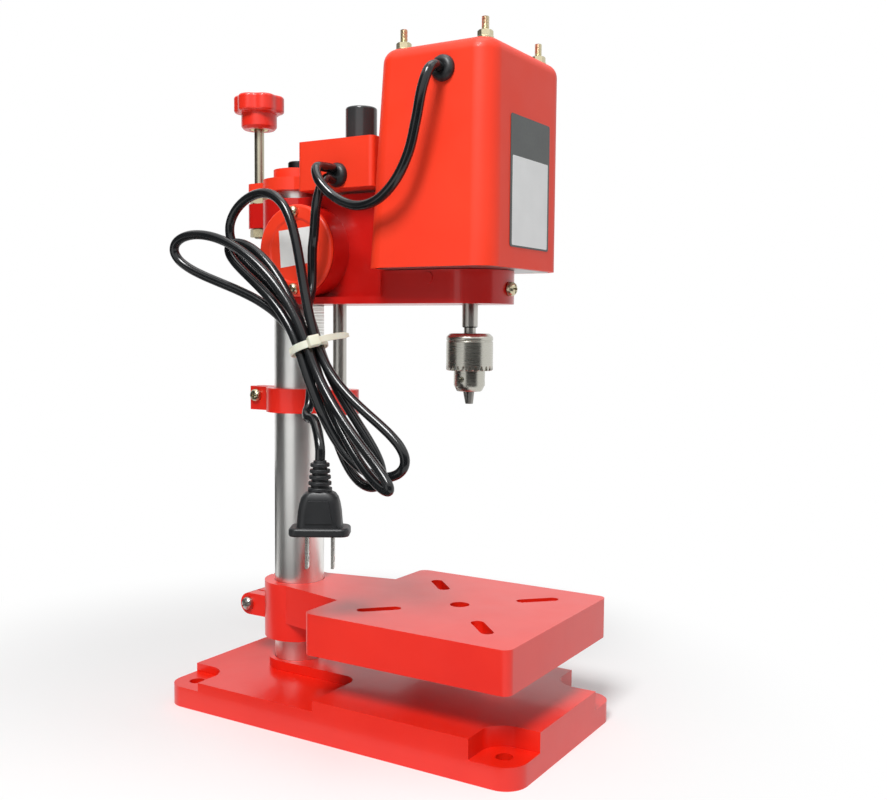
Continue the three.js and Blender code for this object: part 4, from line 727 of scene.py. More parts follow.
def thread_tree():
    tree, start = new_tree(
        "thread", ("Radius", "Float"), ("Length", "Float"), ("Pitch", "Float"), ("Depth", "Float"),
        ("Sides", "Int"), ("Rings", "Int"), ("Material", "Material"),
    )
    rod = tree.nodes.new("GeometryNodeMeshCylinder")
    place = tree.nodes.new("GeometryNodeInputPosition")
    apart = tree.nodes.new("ShaderNodeSeparateXYZ")
    angle = maths(tree, "ARCTAN2", apart.outputs["Y"], apart.outputs["X"])
    turns = maths(tree, "DIVIDE", angle, 2 * math.pi)
    height = maths(tree, "DIVIDE", apart.outputs["Z"], start.outputs["Pitch"])
    phase = maths(tree, "FRACT", maths(tree, "SUBTRACT", height, turns))
    wave = maths(tree, "MULTIPLY", maths(tree, "PINGPONG", phase, 0.5), 2)
    soft = maths(tree, "SMOOTH_MIN", wave, CREST, CREST_SOFT)
    depth = maths(tree, "MULTIPLY", soft, start.outputs["Depth"])
    across = tree.nodes.new("ShaderNodeCombineXYZ")
    unit = tree.nodes.new("ShaderNodeVectorMath")
    unit.operation = "NORMALIZE"
    inward = tree.nodes.new("ShaderNodeVectorMath")
    inward.operation = "SCALE"
    shift = tree.nodes.new("GeometryNodeSetPosition")
    wire(
        tree, (place.outputs[0], apart.inputs[0]),
        (start.outputs["Sides"], rod.inputs["Vertices"]), (start.outputs["Rings"], rod.inputs["Side Segments"]),
        (start.outputs["Radius"], rod.inputs["Radius"]), (start.outputs["Length"], rod.inputs["Depth"]),
        (apart.outputs["X"], across.inputs["X"]), (apart.outputs["Y"], across.inputs["Y"]),
        (across.outputs[0], unit.inputs[0]), (unit.outputs[0], inward.inputs[0]),
        (maths(tree, "MULTIPLY", depth, -1), inward.inputs["Scale"]),
        (rod.outputs["Mesh"], shift.inputs["Geometry"]), (inward.outputs[0], shift.inputs["Offset"]),
    )
    return close_tree(tree, start, shift.outputs[0])


def grown(shape, tree, **values):
    """Runs a tree on the shape and keeps the result as a plain mesh."""
    step = shape.modifiers.new(tree.name, "NODES")
    step.node_group = tree
    sockets = {item.name: item.identifier for item in tree.interface.items_tree if item.in_out == "INPUT"}
    for label, value in values.items():
        step[sockets[label]] = value
    return freeze(shape)


REPEAT = repeat_tree()
THREAD = thread_tree()


def ring_of(shape, count, finish):
    turn = 2 * math.pi / count
    return grown(shape, REPEAT, Count=count, Step=(0.0, 0.0, 0.0), Turn=turn, Material=finish)


def row_of(shape, count, pitch, finish):
    return grown(shape, REPEAT, Count=count, Step=(0.0, 0.0, pitch), Turn=0.0, Material=finish)


def threaded(radius, bottom, top, pitch, finish, x=0, y=0, sides=40):
    rod = as_object("thread", [(0, 0, 0)], [])
    length = top - bottom
    grown(
        rod, THREAD, Radius=float(radius), Length=float(length), Pitch=float(pitch),
        Depth=pitch * 0.5, Sides=sides, Rings=int(length / pitch * THREAD_RINGS), Material=finish,
    )
    return shifted(rod, x, y, (bottom + top) / 2)


print("node trees:", [tree.name for tree in bpy.data.node_groups])

# %% [markdown]
# ## Base
# One hollow casting. Its four corners are lowered to feet with a bolt hole each, the front half stands a
# little higher than the rear, and a round pad that flares into the step carries the column.

# %% Base
BASE_HALF = 61.8
BASE_FRONT = -182.8
BASE_REAR = 52.5
BASE_CORNER = 12.7
BASE_LOW = 16.9
BASE_HIGH = 22.7
BASE_STEP = -58.6
BASE_EDGE = 1.9
BASE_WALL = 5.0
FOOT_TOP = 11.9
FOOT_INSET = 13.2
FOOT_POCKET = 13.4
FOOT_HOLE = 4.5
PAD_RADIUS = 18.5
PAD_FLARE = 9.0
PAD_SOCKET = 6.0
COLUMN_RADIUS = 15.0
COLUMN_FOOT = 5.3
COLUMN_TOP = 310.4

foot_x = BASE_HALF - FOOT_INSET
FEET = [(side * foot_x, y) for side in (-1, 1) for y in (BASE_FRONT + FOOT_INSET, BASE_REAR - FOOT_INSET)]


def foot_pocket(x, y):
    side, end = math.copysign(1, x), math.copysign(1, y)
    far_x, far_y = side * (BASE_HALF + PAST), y + end * (FOOT_INSET + PAST)
    near_x, near_y = x - side * FOOT_POCKET, y - end * FOOT_POCKET
    corner = [(near_x, y), (x, near_y), (far_x, near_y), (far_x, far_y), (near_x, far_y)]
    if side * end < 0:
        corner.reverse()
    top = BASE_HIGH + PAST
    return join(slab(corner, FOOT_TOP, top), cylinder(FOOT_POCKET, FOOT_TOP, top, x, y))


def pad_outline():
    low, out = BASE_STEP - PAD_FLARE, PAD_RADIUS + PAD_FLARE
    flare = BASE_STEP + PAD_FLARE
    return (
        arc(0, 0, PAD_RADIUS, 0, 180, 40) + arc(-out, flare, PAD_FLARE, 0, -90, 14)
        + [(-out, low), (out, low)] + arc(out, flare, PAD_FLARE, -90, -180, 14)
    )


def base_hollow():
    inner = BASE_HALF - BASE_WALL
    deep = inner - 2 * FOOT_INSET
    front = BASE_FRONT + BASE_WALL
    hollow = join(
        slab(rect(-inner, inner, front, BASE_REAR - BASE_WALL, BASE_CORNER - BASE_WALL),
             -PAST, FOOT_TOP - BASE_WALL),
        block(-inner, inner, BASE_STEP - FOOT_POCKET, BASE_REAR - 2 * FOOT_INSET - BASE_WALL,
              -PAST, BASE_LOW - BASE_WALL),
        block(-deep, deep, front, BASE_STEP - BASE_WALL, -PAST, BASE_HIGH - BASE_WALL),
    )
    rib = BASE_WALL / 2
    low, high = -2 * PAST, BASE_HIGH
    return cut(
        hollow,
        cylinder(PAD_RADIUS + PAD_SOCKET, low, high),
        *[cylinder(FOOT_HOLE + BASE_WALL, low, high, x, y) for x, y in FEET],
        block(-rib, rib, BASE_FRONT, BASE_REAR, low, high),
        block(-BASE_HALF, BASE_HALF, BASE_STEP - BASE_WALL, BASE_STEP, low, high),
    )


def base_casting():
    full = rect(-BASE_HALF, BASE_HALF, BASE_FRONT, BASE_REAR, BASE_CORNER, 16)
    corner_x, corner_y = BASE_HALF - BASE_CORNER, BASE_FRONT + BASE_CORNER
    raised = (
        [(BASE_HALF, BASE_STEP), (-BASE_HALF, BASE_STEP)]
        + arc(-corner_x, corner_y, BASE_CORNER, 180, 270, 16)
        + arc(corner_x, corner_y, BASE_CORNER, 270, 360, 16)
    )
    body = join(slab(full, 0, BASE_LOW), slab(raised, PAST, BASE_HIGH), slab(pad_outline(), PAST, BASE_HIGH))
    return cut(
        body, *[foot_pocket(x, y) for x, y in FEET],
        *[cylinder(FOOT_HOLE, -PAST, BASE_HIGH, x, y) for x, y in FEET],
        cylinder(COLUMN_RADIUS + GAP, COLUMN_FOOT - GAP, BASE_HIGH + PAST), base_hollow(),
    )


finished(base_casting(), "base_casting", "frame", casting_paint, ["base"], edge=BASE_EDGE)

# %% [markdown]
# ## Column
# A ground steel bar. A rack is milled into its front, where the pinion of the head climbs.

# %% Column
RACK_FLAT = 13.0
RACK_MODULE = 0.65
RACK_ROOT = RACK_FLAT - 2.25 * RACK_MODULE
TOOTH_ANGLE = math.radians(20)
RACK_PITCH = math.pi * RACK_MODULE
RACK_SLACK = 0.24
RACK_BELOW = 33
RACK_ABOVE = 6
FEED_Z = 268.0
BOLT_SHANK = 4.0
TAP_DEPTH = 20.0


def rack_tooth():
    """One tooth across the column, centred on the height of the pinion."""
    half = RACK_PITCH / 4 - RACK_SLACK / 2
    slope = math.tan(TOOTH_ANGLE) * RACK_MODULE
    tip, foot = half - slope, half + 1.25 * slope
    outline = [
        (-foot, RACK_ROOT - 1), (foot, RACK_ROOT - 1), (foot, RACK_ROOT), (tip, RACK_FLAT), (-tip, RACK_FLAT),
        (-foot, RACK_ROOT),
    ]
    tooth = slab(outline, -COLUMN_RADIUS, COLUMN_RADIUS)
    stand = Matrix(((0, 0, 1, 0), (0, -1, 0, 0), (1, 0, 0, 0), (0, 0, 0, 1)))
    return moved(tooth, stand)


def column_bar():
    low = FEED_Z - (RACK_BELOW + 0.5) * RACK_PITCH
    high = FEED_Z + (RACK_ABOVE + 0.5) * RACK_PITCH
    bar = cut(
        turned([(0, COLUMN_FOOT), (COLUMN_RADIUS - 1, COLUMN_FOOT), (COLUMN_RADIUS, COLUMN_FOOT + 1),
                (COLUMN_RADIUS, COLUMN_TOP - 1), (COLUMN_RADIUS - 1, COLUMN_TOP), (0, COLUMN_TOP)]),
        block(-COLUMN_RADIUS - PAST, COLUMN_RADIUS + PAST, -COLUMN_RADIUS - PAST, -RACK_ROOT, low, high),
        cylinder(BOLT_SHANK + GAP, COLUMN_TOP - TAP_DEPTH, COLUMN_TOP + PAST),
    )
    teeth = row_of(rack_tooth(), RACK_BELOW + RACK_ABOVE + 1, RACK_PITCH, ground_steel)
    teeth = shifted(teeth, z=FEED_Z - RACK_BELOW * RACK_PITCH)
    return join(bar, common(teeth, cylinder(COLUMN_RADIUS, low, high)))


finished(column_bar(), "column_bar", "frame", ground_steel, ["column"], smooth=24)

# %% [markdown]
# ## Mid clamp
# A split strap round the column. Its front boss steadies the guide rod and a screw pinches its rear ear.

# %% Mid clamp and screws
CLAMP_LOW = 173.5
CLAMP_TOP = 188.0
CLAMP_RADIUS = 20.0
CLAMP_SLOT = 2.0
CLAMP_EAR = 6.2
CLAMP_EAR_REACH = 35.0
CLAMP_SCREW_Y = 28.6
CLAMP_SCREW_Z = 182.5
GUIDE_Y = -30.7
GUIDE_RADIUS = 4.0
GUIDE_BOSS = 9.0
GUIDE_BOSS_REACH = 42.6
SCREW_RADIUS = 2.0
SCREW_HEAD = 3.8
SCREW_HEAD_HEIGHT = 3.2
CROSS_REACH = 0.62
CROSS_DEPTH = 0.55
CROSS_HALF = 0.11
CAST_EDGE = 1.2


def tongue(radius, start, end, steps=20):
    """A bar along Y with a round end."""
    middle = end - math.copysign(radius, end)
    if end < 0:
        return [(radius, start), (-radius, start)] + arc(0, middle, radius, 180, 360, steps)
    return [(-radius, start), (radius, start)] + arc(0, middle, radius, 0, 180, steps)


def pan_screw(length, head=SCREW_HEAD, height=SCREW_HEAD_HEIGHT, radius=SCREW_RADIUS):
    """Crosshead screw, its head above zero and its shank below."""
    screw = turned([
        (0, -length), (radius * 0.7, -length), (radius, -length + radius * 0.4), (radius, 0), (head, 0),
        (head, height * 0.3), (head * 0.94, height * 0.6), (head * 0.72, height * 0.86),
        (head * 0.4, height * 0.98), (0, height),
    ], sides=48)
    arm, depth = head * CROSS_REACH, height * CROSS_DEPTH
    slot = head * CROSS_HALF
    cross = join(
        block(-arm, arm, -slot, slot, height - depth, height + PAST),
        block(-slot, slot, -arm, arm, height - depth, height + PAST),
    )
    return cut(screw, cross)


def mid_clamp():
    high, low = CLAMP_TOP, CLAMP_LOW
    body = join(
        cylinder(CLAMP_RADIUS, low, high),
        slab(tongue(GUIDE_BOSS, 0, -GUIDE_BOSS_REACH), low, high),
        slab(rect(-CLAMP_EAR, CLAMP_EAR, 0, CLAMP_EAR_REACH, CAST_EDGE * 2), low, high),
    )
    slot = CLAMP_SLOT / 2
    return cut(
        body,
        hole(COLUMN_RADIUS, low, high),
        hole(GUIDE_RADIUS, low, high, 0, GUIDE_Y, 48),
        block(-slot, slot, 0, CLAMP_EAR_REACH + PAST, low - PAST, high + PAST),
        along_x(hole(SCREW_RADIUS, -CLAMP_EAR, CLAMP_EAR, sides=32), CLAMP_SCREW_Y, CLAMP_SCREW_Z),
    )


def mid_clamp_screw():
    screw = spun(pan_screw(CLAMP_EAR * 2 + GAP), math.pi, "Y")
    return along_x(shifted(screw, z=-CLAMP_EAR - GAP), CLAMP_SCREW_Y, CLAMP_SCREW_Z)


finished(mid_clamp(), "mid_clamp_casting", "frame", casting_paint, ["mid_clamp"], edge=0.9)
finished(mid_clamp_screw(), "mid_clamp_cross_screw", "frame", zinc_yellow, ["mid_clamp_screw"],
         edge=0.12)

# %% [markdown]
# ## Control box
# A cast cap sits on the column top and carries a box in front of it. The speed knob stands on the box, the
# two cords leave its left side through a rubber gland, and a floor plate closes it from below.

# %% Control box
BOX_HALF = 30.0
BOX_REAR = -23.0
BOX_FRONT = -75.0
BOX_LOW = 301.6
BOX_TOP = 328.8
BOX_CORNER = 3.0
BOX_WALL = 2.6
BOX_LIP = 1.3
BOX_FLOOR = 2.0
BOX_EDGE = 1.3
BRACKET_RADIUS = 21.4
BRACKET_LOW = 304.7
BRACKET_TOP = 312.1
BRIDGE_HALF = 18.0
CAP_RADIUS = 15.1
CAP_TOP = 318.2
STOP_Y = 31.2
STOP_RADIUS = 3.0
STOP_EAR = 6.6
STOP_EAR_THICK = 5.0
STOP_EAR_TOP = 312.0
SPEED_Y = -46.0
SPEED_BUSH = 4.5
CONTROL_GLAND = (-51.5, 308.7)
GLAND_RADIUS = 6.7
GLAND_NECK = 5.7
GLAND_STAND = 3.4
GLAND_FLANGE = 1.4
GLAND_DOME = ((0.50, 1.0), (0.66, 0.98), (0.80, 0.86), (0.91, 0.66), (0.98, 0.38), (1.0, 0.12))


def box_outline(wall):
    return rect(wall - BOX_HALF, BOX_HALF - wall, BOX_FRONT + wall, BOX_REAR - wall, BOX_CORNER - wall / 2, 8)


def control_box():
    ear_low, ledge = STOP_EAR_TOP - STOP_EAR_THICK, BOX_LOW + BOX_FLOOR + GAP
    body = join(
        slab(box_outline(0), BOX_LOW, BOX_TOP),
        cylinder(BRACKET_RADIUS, BRACKET_LOW, BRACKET_TOP),
        block(-BRIDGE_HALF, BRIDGE_HALF, BOX_REAR - BOX_WALL / 2, 0, BRACKET_LOW, BRACKET_TOP),
        cylinder(CAP_RADIUS, BRACKET_TOP - PAST, CAP_TOP),
        slab(tongue(STOP_EAR, CAP_RADIUS + PAST, STOP_Y + STOP_EAR), ear_low, STOP_EAR_TOP),
    )
    return cut(
        body,
        slab(box_outline(BOX_WALL), ledge, BOX_TOP - BOX_WALL),
        slab(box_outline(BOX_LIP), BOX_LOW - PAST, ledge),
        cylinder(COLUMN_RADIUS + GAP, BRACKET_LOW - PAST, COLUMN_TOP + GAP),
        cylinder(BOLT_SHANK + GAP, COLUMN_TOP, CAP_TOP + PAST, sides=32),
        hole(STOP_RADIUS, ear_low, STOP_EAR_TOP, 0, STOP_Y, 32),
        hole(SPEED_BUSH, BOX_TOP - BOX_WALL, BOX_TOP, 0, SPEED_Y, 32),
        along_x(hole(GLAND_NECK, -BOX_HALF, BOX_WALL - BOX_HALF, sides=48), *CONTROL_GLAND),
    )


def gland(wall_outside, wall, y, z):
    """Rubber gland in a left wall: a flange inside, a neck in the hole and a domed flange outside."""
    outer, inner = -wall_outside - GAP, wall - wall_outside + GAP
    mouth = outer - GLAND_STAND * 0.9
    dome = [(GLAND_RADIUS * share, outer - GLAND_STAND * rise) for share, rise in GLAND_DOME]
    return along_x(turned([
        (0, mouth), (GLAND_RADIUS * 0.44, mouth), *dome, (GLAND_RADIUS, outer), (GLAND_NECK, outer),
        (GLAND_NECK, inner), (GLAND_RADIUS, inner), (GLAND_RADIUS, inner + GLAND_FLANGE),
        (0, inner + GLAND_FLANGE),
    ], sides=64), y, z)


finished(control_box(), "control_box_casting", "frame", cover_paint, ["control_box"],
         edge=BOX_EDGE)
finished(gland(BOX_HALF, BOX_WALL, *CONTROL_GLAND), "control_gland_rubber", "frame", gland_rubber,
         ["control_gland"], smooth=50)

# %% Bracket bolt and speed knob
BOLT_HEAD = 6.5
BOLT_HEAD_HEIGHT = 5.0
BOLT_KEY = 6.0
BOLT_KEY_DEPTH = 3.0
KNOB_RADIUS = 9.1
KNOB_LOW = 330.3
KNOB_TOP = 351.0
KNOB_SOFT = 1.9
KNOB_RECESS = 6.5
KNOB_RECESS_DEPTH = 3.0
KNOB_SINK = 0.5
POINTER_TURN = math.radians(60)
SHAFT_RADIUS = 2.5
SHAFT_TOP = 344.0


def hexagon(flats, low, high, x=0, y=0):
    return slab([(x + px, y + py) for px, py in disc(flats / math.sqrt(3), steps=6)], low, high)


def bracket_bolt():
    seat = CAP_TOP + GAP
    top = seat + BOLT_HEAD_HEIGHT
    soft = BOLT_HEAD_HEIGHT * 0.14
    bolt = turned([
        (0, COLUMN_TOP - TAP_DEPTH + GAP), (BOLT_SHANK, COLUMN_TOP - TAP_DEPTH + GAP), (BOLT_SHANK, seat),
        (BOLT_HEAD, seat), (BOLT_HEAD, top - soft), (BOLT_HEAD - soft, top), (0, top),
    ])
    return cut(bolt, hexagon(BOLT_KEY, top - BOLT_KEY_DEPTH, top + PAST))


def speed_knob():
    """A smooth round cap: straight sides, a wide round on the top edge and a sunk top with a pointer notch."""
    bore, recess = SHAFT_RADIUS + GAP, KNOB_LOW + KNOB_RECESS_DEPTH
    outside = eased([
        (KNOB_RADIUS, KNOB_LOW), (KNOB_RADIUS, KNOB_TOP), (KNOB_RADIUS * 0.66, KNOB_TOP),
    ], KNOB_SOFT)
    shell = turned([
        (bore, recess), (KNOB_RECESS, recess), (KNOB_RECESS, KNOB_LOW),
        *outside,
        (KNOB_RADIUS * 0.6, KNOB_TOP - KNOB_SINK), (0, KNOB_TOP - KNOB_SINK),
        (0, SHAFT_TOP + GAP), (bore, SHAFT_TOP + GAP), (bore, recess),
    ])
    pointer = block(KNOB_RADIUS * 0.7, KNOB_RADIUS + 1, -0.5, 0.5, KNOB_TOP - 1.2, KNOB_TOP + 1)
    return shifted(cut(shell, spun(pointer, POINTER_TURN)), y=SPEED_Y)


finished(bracket_bolt(), "bracket_socket_bolt", "frame", black_steel, ["bracket_bolt"], edge=0.2)
finished(speed_knob(), "speed_knob_cap", "speed", knob_black, ["speed_knob"], edge=0.14)

# %% [markdown]
# ## Drilling head
# One casting slides on the column. Its collar grips the column, a drum crosses it for the feed pinion, a web
# and a flange run forward, and the nose block carries the spindle and the motor above it.

# %% Head casting
HEAD_LOW = 238.0
HEAD_TOP = 299.8
HEAD_COLLAR = 21.5
HEAD_WEB = 17.0
HEAD_FLANGE = 24.0
HEAD_FLANGE_TOP = 242.0
HEAD_FLANGE_REAR = -12.0
HEAD_EAR_LOW = 285.0
NOSE_TOP = 256.0
NOSE_REAR = -73.5
NOSE_CORNER = 6.0
NOSE_BORE = 6.0
WEB_FRONT = -75.6
SPINDLE_Y = -119.5
PINION_TEETH = 36
PINION_RADIUS = PINION_TEETH * RACK_MODULE / 2
FEED_Y = -(RACK_FLAT - RACK_MODULE + PINION_RADIUS)
CROSS_BORE = PINION_RADIUS + RACK_MODULE + 0.45
DRUM_RADIUS = 26.0
DRUM_FACE = 31.0
POT_RADIUS = 18.6
POT_FLOOR = 21.0
POT_SCREW_CIRCLE = 21.6
LEVER_BOSS = 17.0
LEVER_BOSS_FACE = 27.0
LOWER_BEARING = 11.0
LOWER_BEARING_Z = 247.0
GUIDE_TOP = 250.0
GUIDE_LOW = 171.5
NOSE_SCREW_Z = 246.0
NOSE_BOSS_Y = -107.0
NOSE_BOSS = 3.2
NOSE_BOSS_STAND = 0.6


def nose_outline():
    corner, rear = HEAD_FLANGE - NOSE_CORNER, NOSE_REAR - NOSE_CORNER
    return (
        arc(corner, rear, NOSE_CORNER, 0, 90, 8) + arc(-corner, rear, NOSE_CORNER, 90, 180, 8)
        + arc(0, SPINDLE_Y, HEAD_FLANGE, 180, 360, 48)
    )


def on_feed(shape):
    return along_x(shape, FEED_Y, FEED_Z)


def head_casting():
    reach, tap = DRUM_FACE + PAST, SCREW_RADIUS + GAP
    web = rect(-HEAD_WEB, HEAD_WEB, WEB_FRONT, 0, CAST_EDGE)
    flange = rect(-HEAD_FLANGE, HEAD_FLANGE, NOSE_REAR - 2 * NOSE_CORNER, HEAD_FLANGE_REAR, NOSE_CORNER)
    boss_z = NOSE_TOP - NOSE_BOSS - CAST_EDGE
    body = join(
        cylinder(HEAD_COLLAR, HEAD_LOW, HEAD_TOP),
        slab(web, HEAD_LOW, HEAD_TOP),
        slab(flange, HEAD_LOW, HEAD_FLANGE_TOP),
        slab(nose_outline(), HEAD_LOW, NOSE_TOP),
        on_feed(cylinder(DRUM_RADIUS, -DRUM_FACE, 0)),
        on_feed(cylinder(LEVER_BOSS, 0, LEVER_BOSS_FACE)),
        slab(tongue(STOP_EAR, COLUMN_RADIUS + 2 * GAP, STOP_Y + STOP_EAR), HEAD_EAR_LOW, HEAD_TOP),
        along_x(cylinder(NOSE_BOSS, -HEAD_FLANGE - NOSE_BOSS_STAND, 0, sides=40), NOSE_BOSS_Y, boss_z),
    )
    return cut(
        body,
        hole(COLUMN_RADIUS, HEAD_LOW, HEAD_TOP),
        on_feed(cylinder(CROSS_BORE, -reach, reach)),
        on_feed(cylinder(POT_RADIUS, -reach, -POT_FLOOR)),
        cylinder(NOSE_BORE, HEAD_LOW - PAST, LOWER_BEARING_Z + PAST, 0, SPINDLE_Y, 48),
        cylinder(LOWER_BEARING + GAP, LOWER_BEARING_Z - GAP, NOSE_TOP + PAST, 0, SPINDLE_Y),
        cylinder(GUIDE_RADIUS + GAP, HEAD_LOW - PAST, GUIDE_TOP + GAP, 0, GUIDE_Y, 48),
        hole(STOP_RADIUS, HEAD_EAR_LOW, HEAD_TOP, 0, STOP_Y, 40),
        *[along_x(cylinder(tap, -reach, -POT_FLOOR, sides=24), FEED_Y, FEED_Z + side * POT_SCREW_CIRCLE)
          for side in (-1, 1)],
        along_front(cylinder(tap, LOWER_BEARING - SPINDLE_Y, HEAD_FLANGE - SPINDLE_Y + PAST, sides=24),
                    0, NOSE_SCREW_Z),
    )


def nose_screw():
    screw = pan_screw(HEAD_FLANGE - LOWER_BEARING - PAST, height=SCREW_HEAD_HEIGHT * 1.2)
    return along_front(shifted(screw, z=HEAD_FLANGE - SPINDLE_Y + GAP), 0, NOSE_SCREW_Z)


# The head wears the darker red, part of which is painted shade from the motor cover above it.
finished(head_casting(), "drilling_head_casting", "head", head_paint_with_painted_shade, ["head_casting"],
         edge=CAST_EDGE)
finished(nose_screw(), "nose_cross_screw", "head", zinc_yellow, ["nose_screw"], edge=0.12)

# %% Spring pot cover
POT_COVER = 2.7
POT_RIM_INNER = 17.4
POT_RECESS = 0.9


def pot_cover():
    """A pressed disc: a raised round rim and a dished middle."""
    back = DRUM_FACE + GAP
    face = back + POT_COVER
    low = face - POT_RECESS
    cover = turned([
        (0, back), (DRUM_RADIUS - 0.3, back), (DRUM_RADIUS, back + 0.4), (DRUM_RADIUS, face - 1.5),
        (DRUM_RADIUS - 0.35, face - 0.75), (DRUM_RADIUS - 1.0, face - 0.25), (DRUM_RADIUS - 1.9, face),
        (POT_RIM_INNER + 1.5, face), (POT_RIM_INNER + 0.7, face - 0.2), (POT_RIM_INNER + 0.2, face - 0.7),
        (POT_RIM_INNER - 0.4, low), (0, low),
    ])
    holes = [hole(SCREW_RADIUS, back, face, side * POT_SCREW_CIRCLE, 0, 32) for side in (-1, 1)]
    return on_feed(spun(cut(cover, *holes), math.pi, "X"))


def pot_screw(side):
    screw = pan_screw(DRUM_FACE - POT_FLOOR, head=SCREW_HEAD / 1.2)
    screw = spun(shifted(screw, z=DRUM_FACE + POT_COVER + 2 * GAP), math.pi, "X")
    return along_x(screw, FEED_Y, FEED_Z + side * POT_SCREW_CIRCLE)


finished(pot_cover(), "spring_pot_cover", "head", cover_paint, ["pot_cover"], edge=0.12)
for side, place in ((1, "upper"), (-1, "lower")):
    finished(pot_screw(side), "pot_cross_screw_" + place, "head", zinc_yellow, ["pot_screw_" + place],
             edge=0.12)

# %% [markdown]
# ## Rods, depth stop and star knob
# The guide rod hangs from the head into the mid clamp. The depth stop rod stands in the head's rear ear
# between two nuts, and the star knob on its brass insert limits how far the head goes down.

# %% Rods, nuts and star knob
STOP_LOW = 279.0
STOP_TOP = 357.0
STOP_PITCH = 1.0
STOP_PLAIN_LOW = 301.0
STOP_PLAIN_TOP = 347.0
NUT_FLATS = 10.0
NUT_HEIGHT = 5.0
STAR_LOW = 345.2
STAR_HUB = 10.8
STAR_HUB_TOP = 355.0
STAR_TOP = 365.5
STAR_RADIUS = 15.3
STAR_LOBES = 6
STAR_LOBE_DEPTH = 1.7
STAR_LOBE_STEPS = 24
STAR_LOBE_WIDTH = 1.6
STAR_EDGE = 1.8
INSERT_RADIUS = 5.5
INSERT_LENGTH = 10.0
INSERT_BORE = 3.3


def guide_rod():
    soft = 0.6
    return turned([
        (0, GUIDE_LOW), (GUIDE_RADIUS - soft, GUIDE_LOW), (GUIDE_RADIUS, GUIDE_LOW + soft),
        (GUIDE_RADIUS, GUIDE_TOP),
        (0, GUIDE_TOP),
    ], 0, GUIDE_Y)


def stop_rod():
    """Threaded where its nuts and its knob sit, and plain between them."""
    low_thread = threaded(STOP_RADIUS, STOP_LOW, STOP_PLAIN_LOW, STOP_PITCH, rod_steel, 0, STOP_Y)
    plain = cylinder(STOP_RADIUS - 0.02, STOP_PLAIN_LOW - 1, STOP_PLAIN_TOP + 1, 0, STOP_Y, 64)
    top_thread = threaded(STOP_RADIUS, STOP_PLAIN_TOP, STOP_TOP, STOP_PITCH, rod_steel, 0, STOP_Y)
    return join(plain, low_thread, top_thread)


def hexagon_nut(flats, low, high, bore, x=0, y=0, edge=0.45):
    """The corners of a nut are turned away to a cone on both faces."""
    radius = flats / math.sqrt(3)
    cone = turned([
        (0, low), (flats / 2, low), (radius, low + edge), (radius, high - edge), (flats / 2, high), (0, high),
    ], x, y)
    return cut(common(hexagon(flats, low, high, x, y), cone), cylinder(bore, low - PAST, high + PAST, x, y, 40))


def stop_nut(low, high):
    return hexagon_nut(NUT_FLATS, low, high, STOP_RADIUS + GAP, 0, STOP_Y)


def star_outline():
    steps = STAR_LOBES * STAR_LOBE_STEPS
    outline = []
    for i in range(steps):
        turn = 2 * math.pi * i / steps
        wave = (0.5 - 0.5 * math.cos(STAR_LOBES * turn)) ** STAR_LOBE_WIDTH
        radius = STAR_RADIUS - STAR_LOBE_DEPTH * wave
        outline.append((radius * math.cos(turn), radius * math.sin(turn)))
    return outline


def star_knob():
    waist = STAR_HUB * 0.9
    hub = turned([
        (0, STAR_LOW), (waist - 0.6, STAR_LOW), (waist, STAR_LOW + 0.5), (waist + 0.5, STAR_LOW + 1.1),
        (STAR_HUB, STAR_LOW + STAR_EDGE), (STAR_HUB, STAR_HUB_TOP + 4), (0, STAR_HUB_TOP + 4),
    ])
    head = slab(star_outline(), STAR_HUB_TOP, STAR_TOP, STAR_EDGE, 6, STAR_EDGE)
    dish = turned([
        (0, STAR_TOP - 0.5), (STAR_HUB * 0.62, STAR_TOP - 0.5), (STAR_HUB * 0.7, STAR_TOP + 0.1),
        (0, STAR_TOP + 1),
    ])
    knob = cut(
        join(hub, head), dish,
        cylinder(INSERT_RADIUS + GAP, STAR_LOW - PAST, STAR_LOW + INSERT_LENGTH + GAP, sides=48),
        cylinder(INSERT_BORE, STAR_LOW, STAR_TOP - 2 * STAR_EDGE, sides=40),
    )
    return shifted(knob, y=STOP_Y)


def knob_insert():
    low, high = STAR_LOW, STAR_LOW + INSERT_LENGTH
    return turned([
        (INSERT_BORE, low), (INSERT_RADIUS - 0.3, low), (INSERT_RADIUS, low + 0.3), (INSERT_RADIUS, high),
        (INSERT_BORE, high), (INSERT_BORE, low),
    ], 0, STOP_Y, 64)


finished(guide_rod(), "guide_rod_bar", "head", rod_steel, ["guide_rod"])
finished(stop_rod(), "stop_rod_bar", "head", rod_brassy, ["stop_rod"], smooth=50)
finished(stop_nut(HEAD_TOP + GAP, HEAD_TOP + GAP + NUT_HEIGHT), "stop_nut_top", "head", zinc_yellow,
         ["stop_nut_upper"], edge=0.15)
finished(stop_nut(HEAD_EAR_LOW - GAP - NUT_HEIGHT, HEAD_EAR_LOW - GAP), "stop_nut_bottom", "head", zinc_yellow,
         ["stop_nut_lower"], edge=0.15)
finished(knob_insert(), "star_knob_insert", "knob_nut", brass, ["knob_insert"])
finished(star_knob(), "star_knob_moulding", "knob", knob_red, ["star_knob"], edge=0.35)

# %% [markdown]
# ## Feed lever
# On the far side the pinion shaft comes out of a bronze bush and ends in a black hub. A steel rod leans
# forward out of the hub to a turned grip.

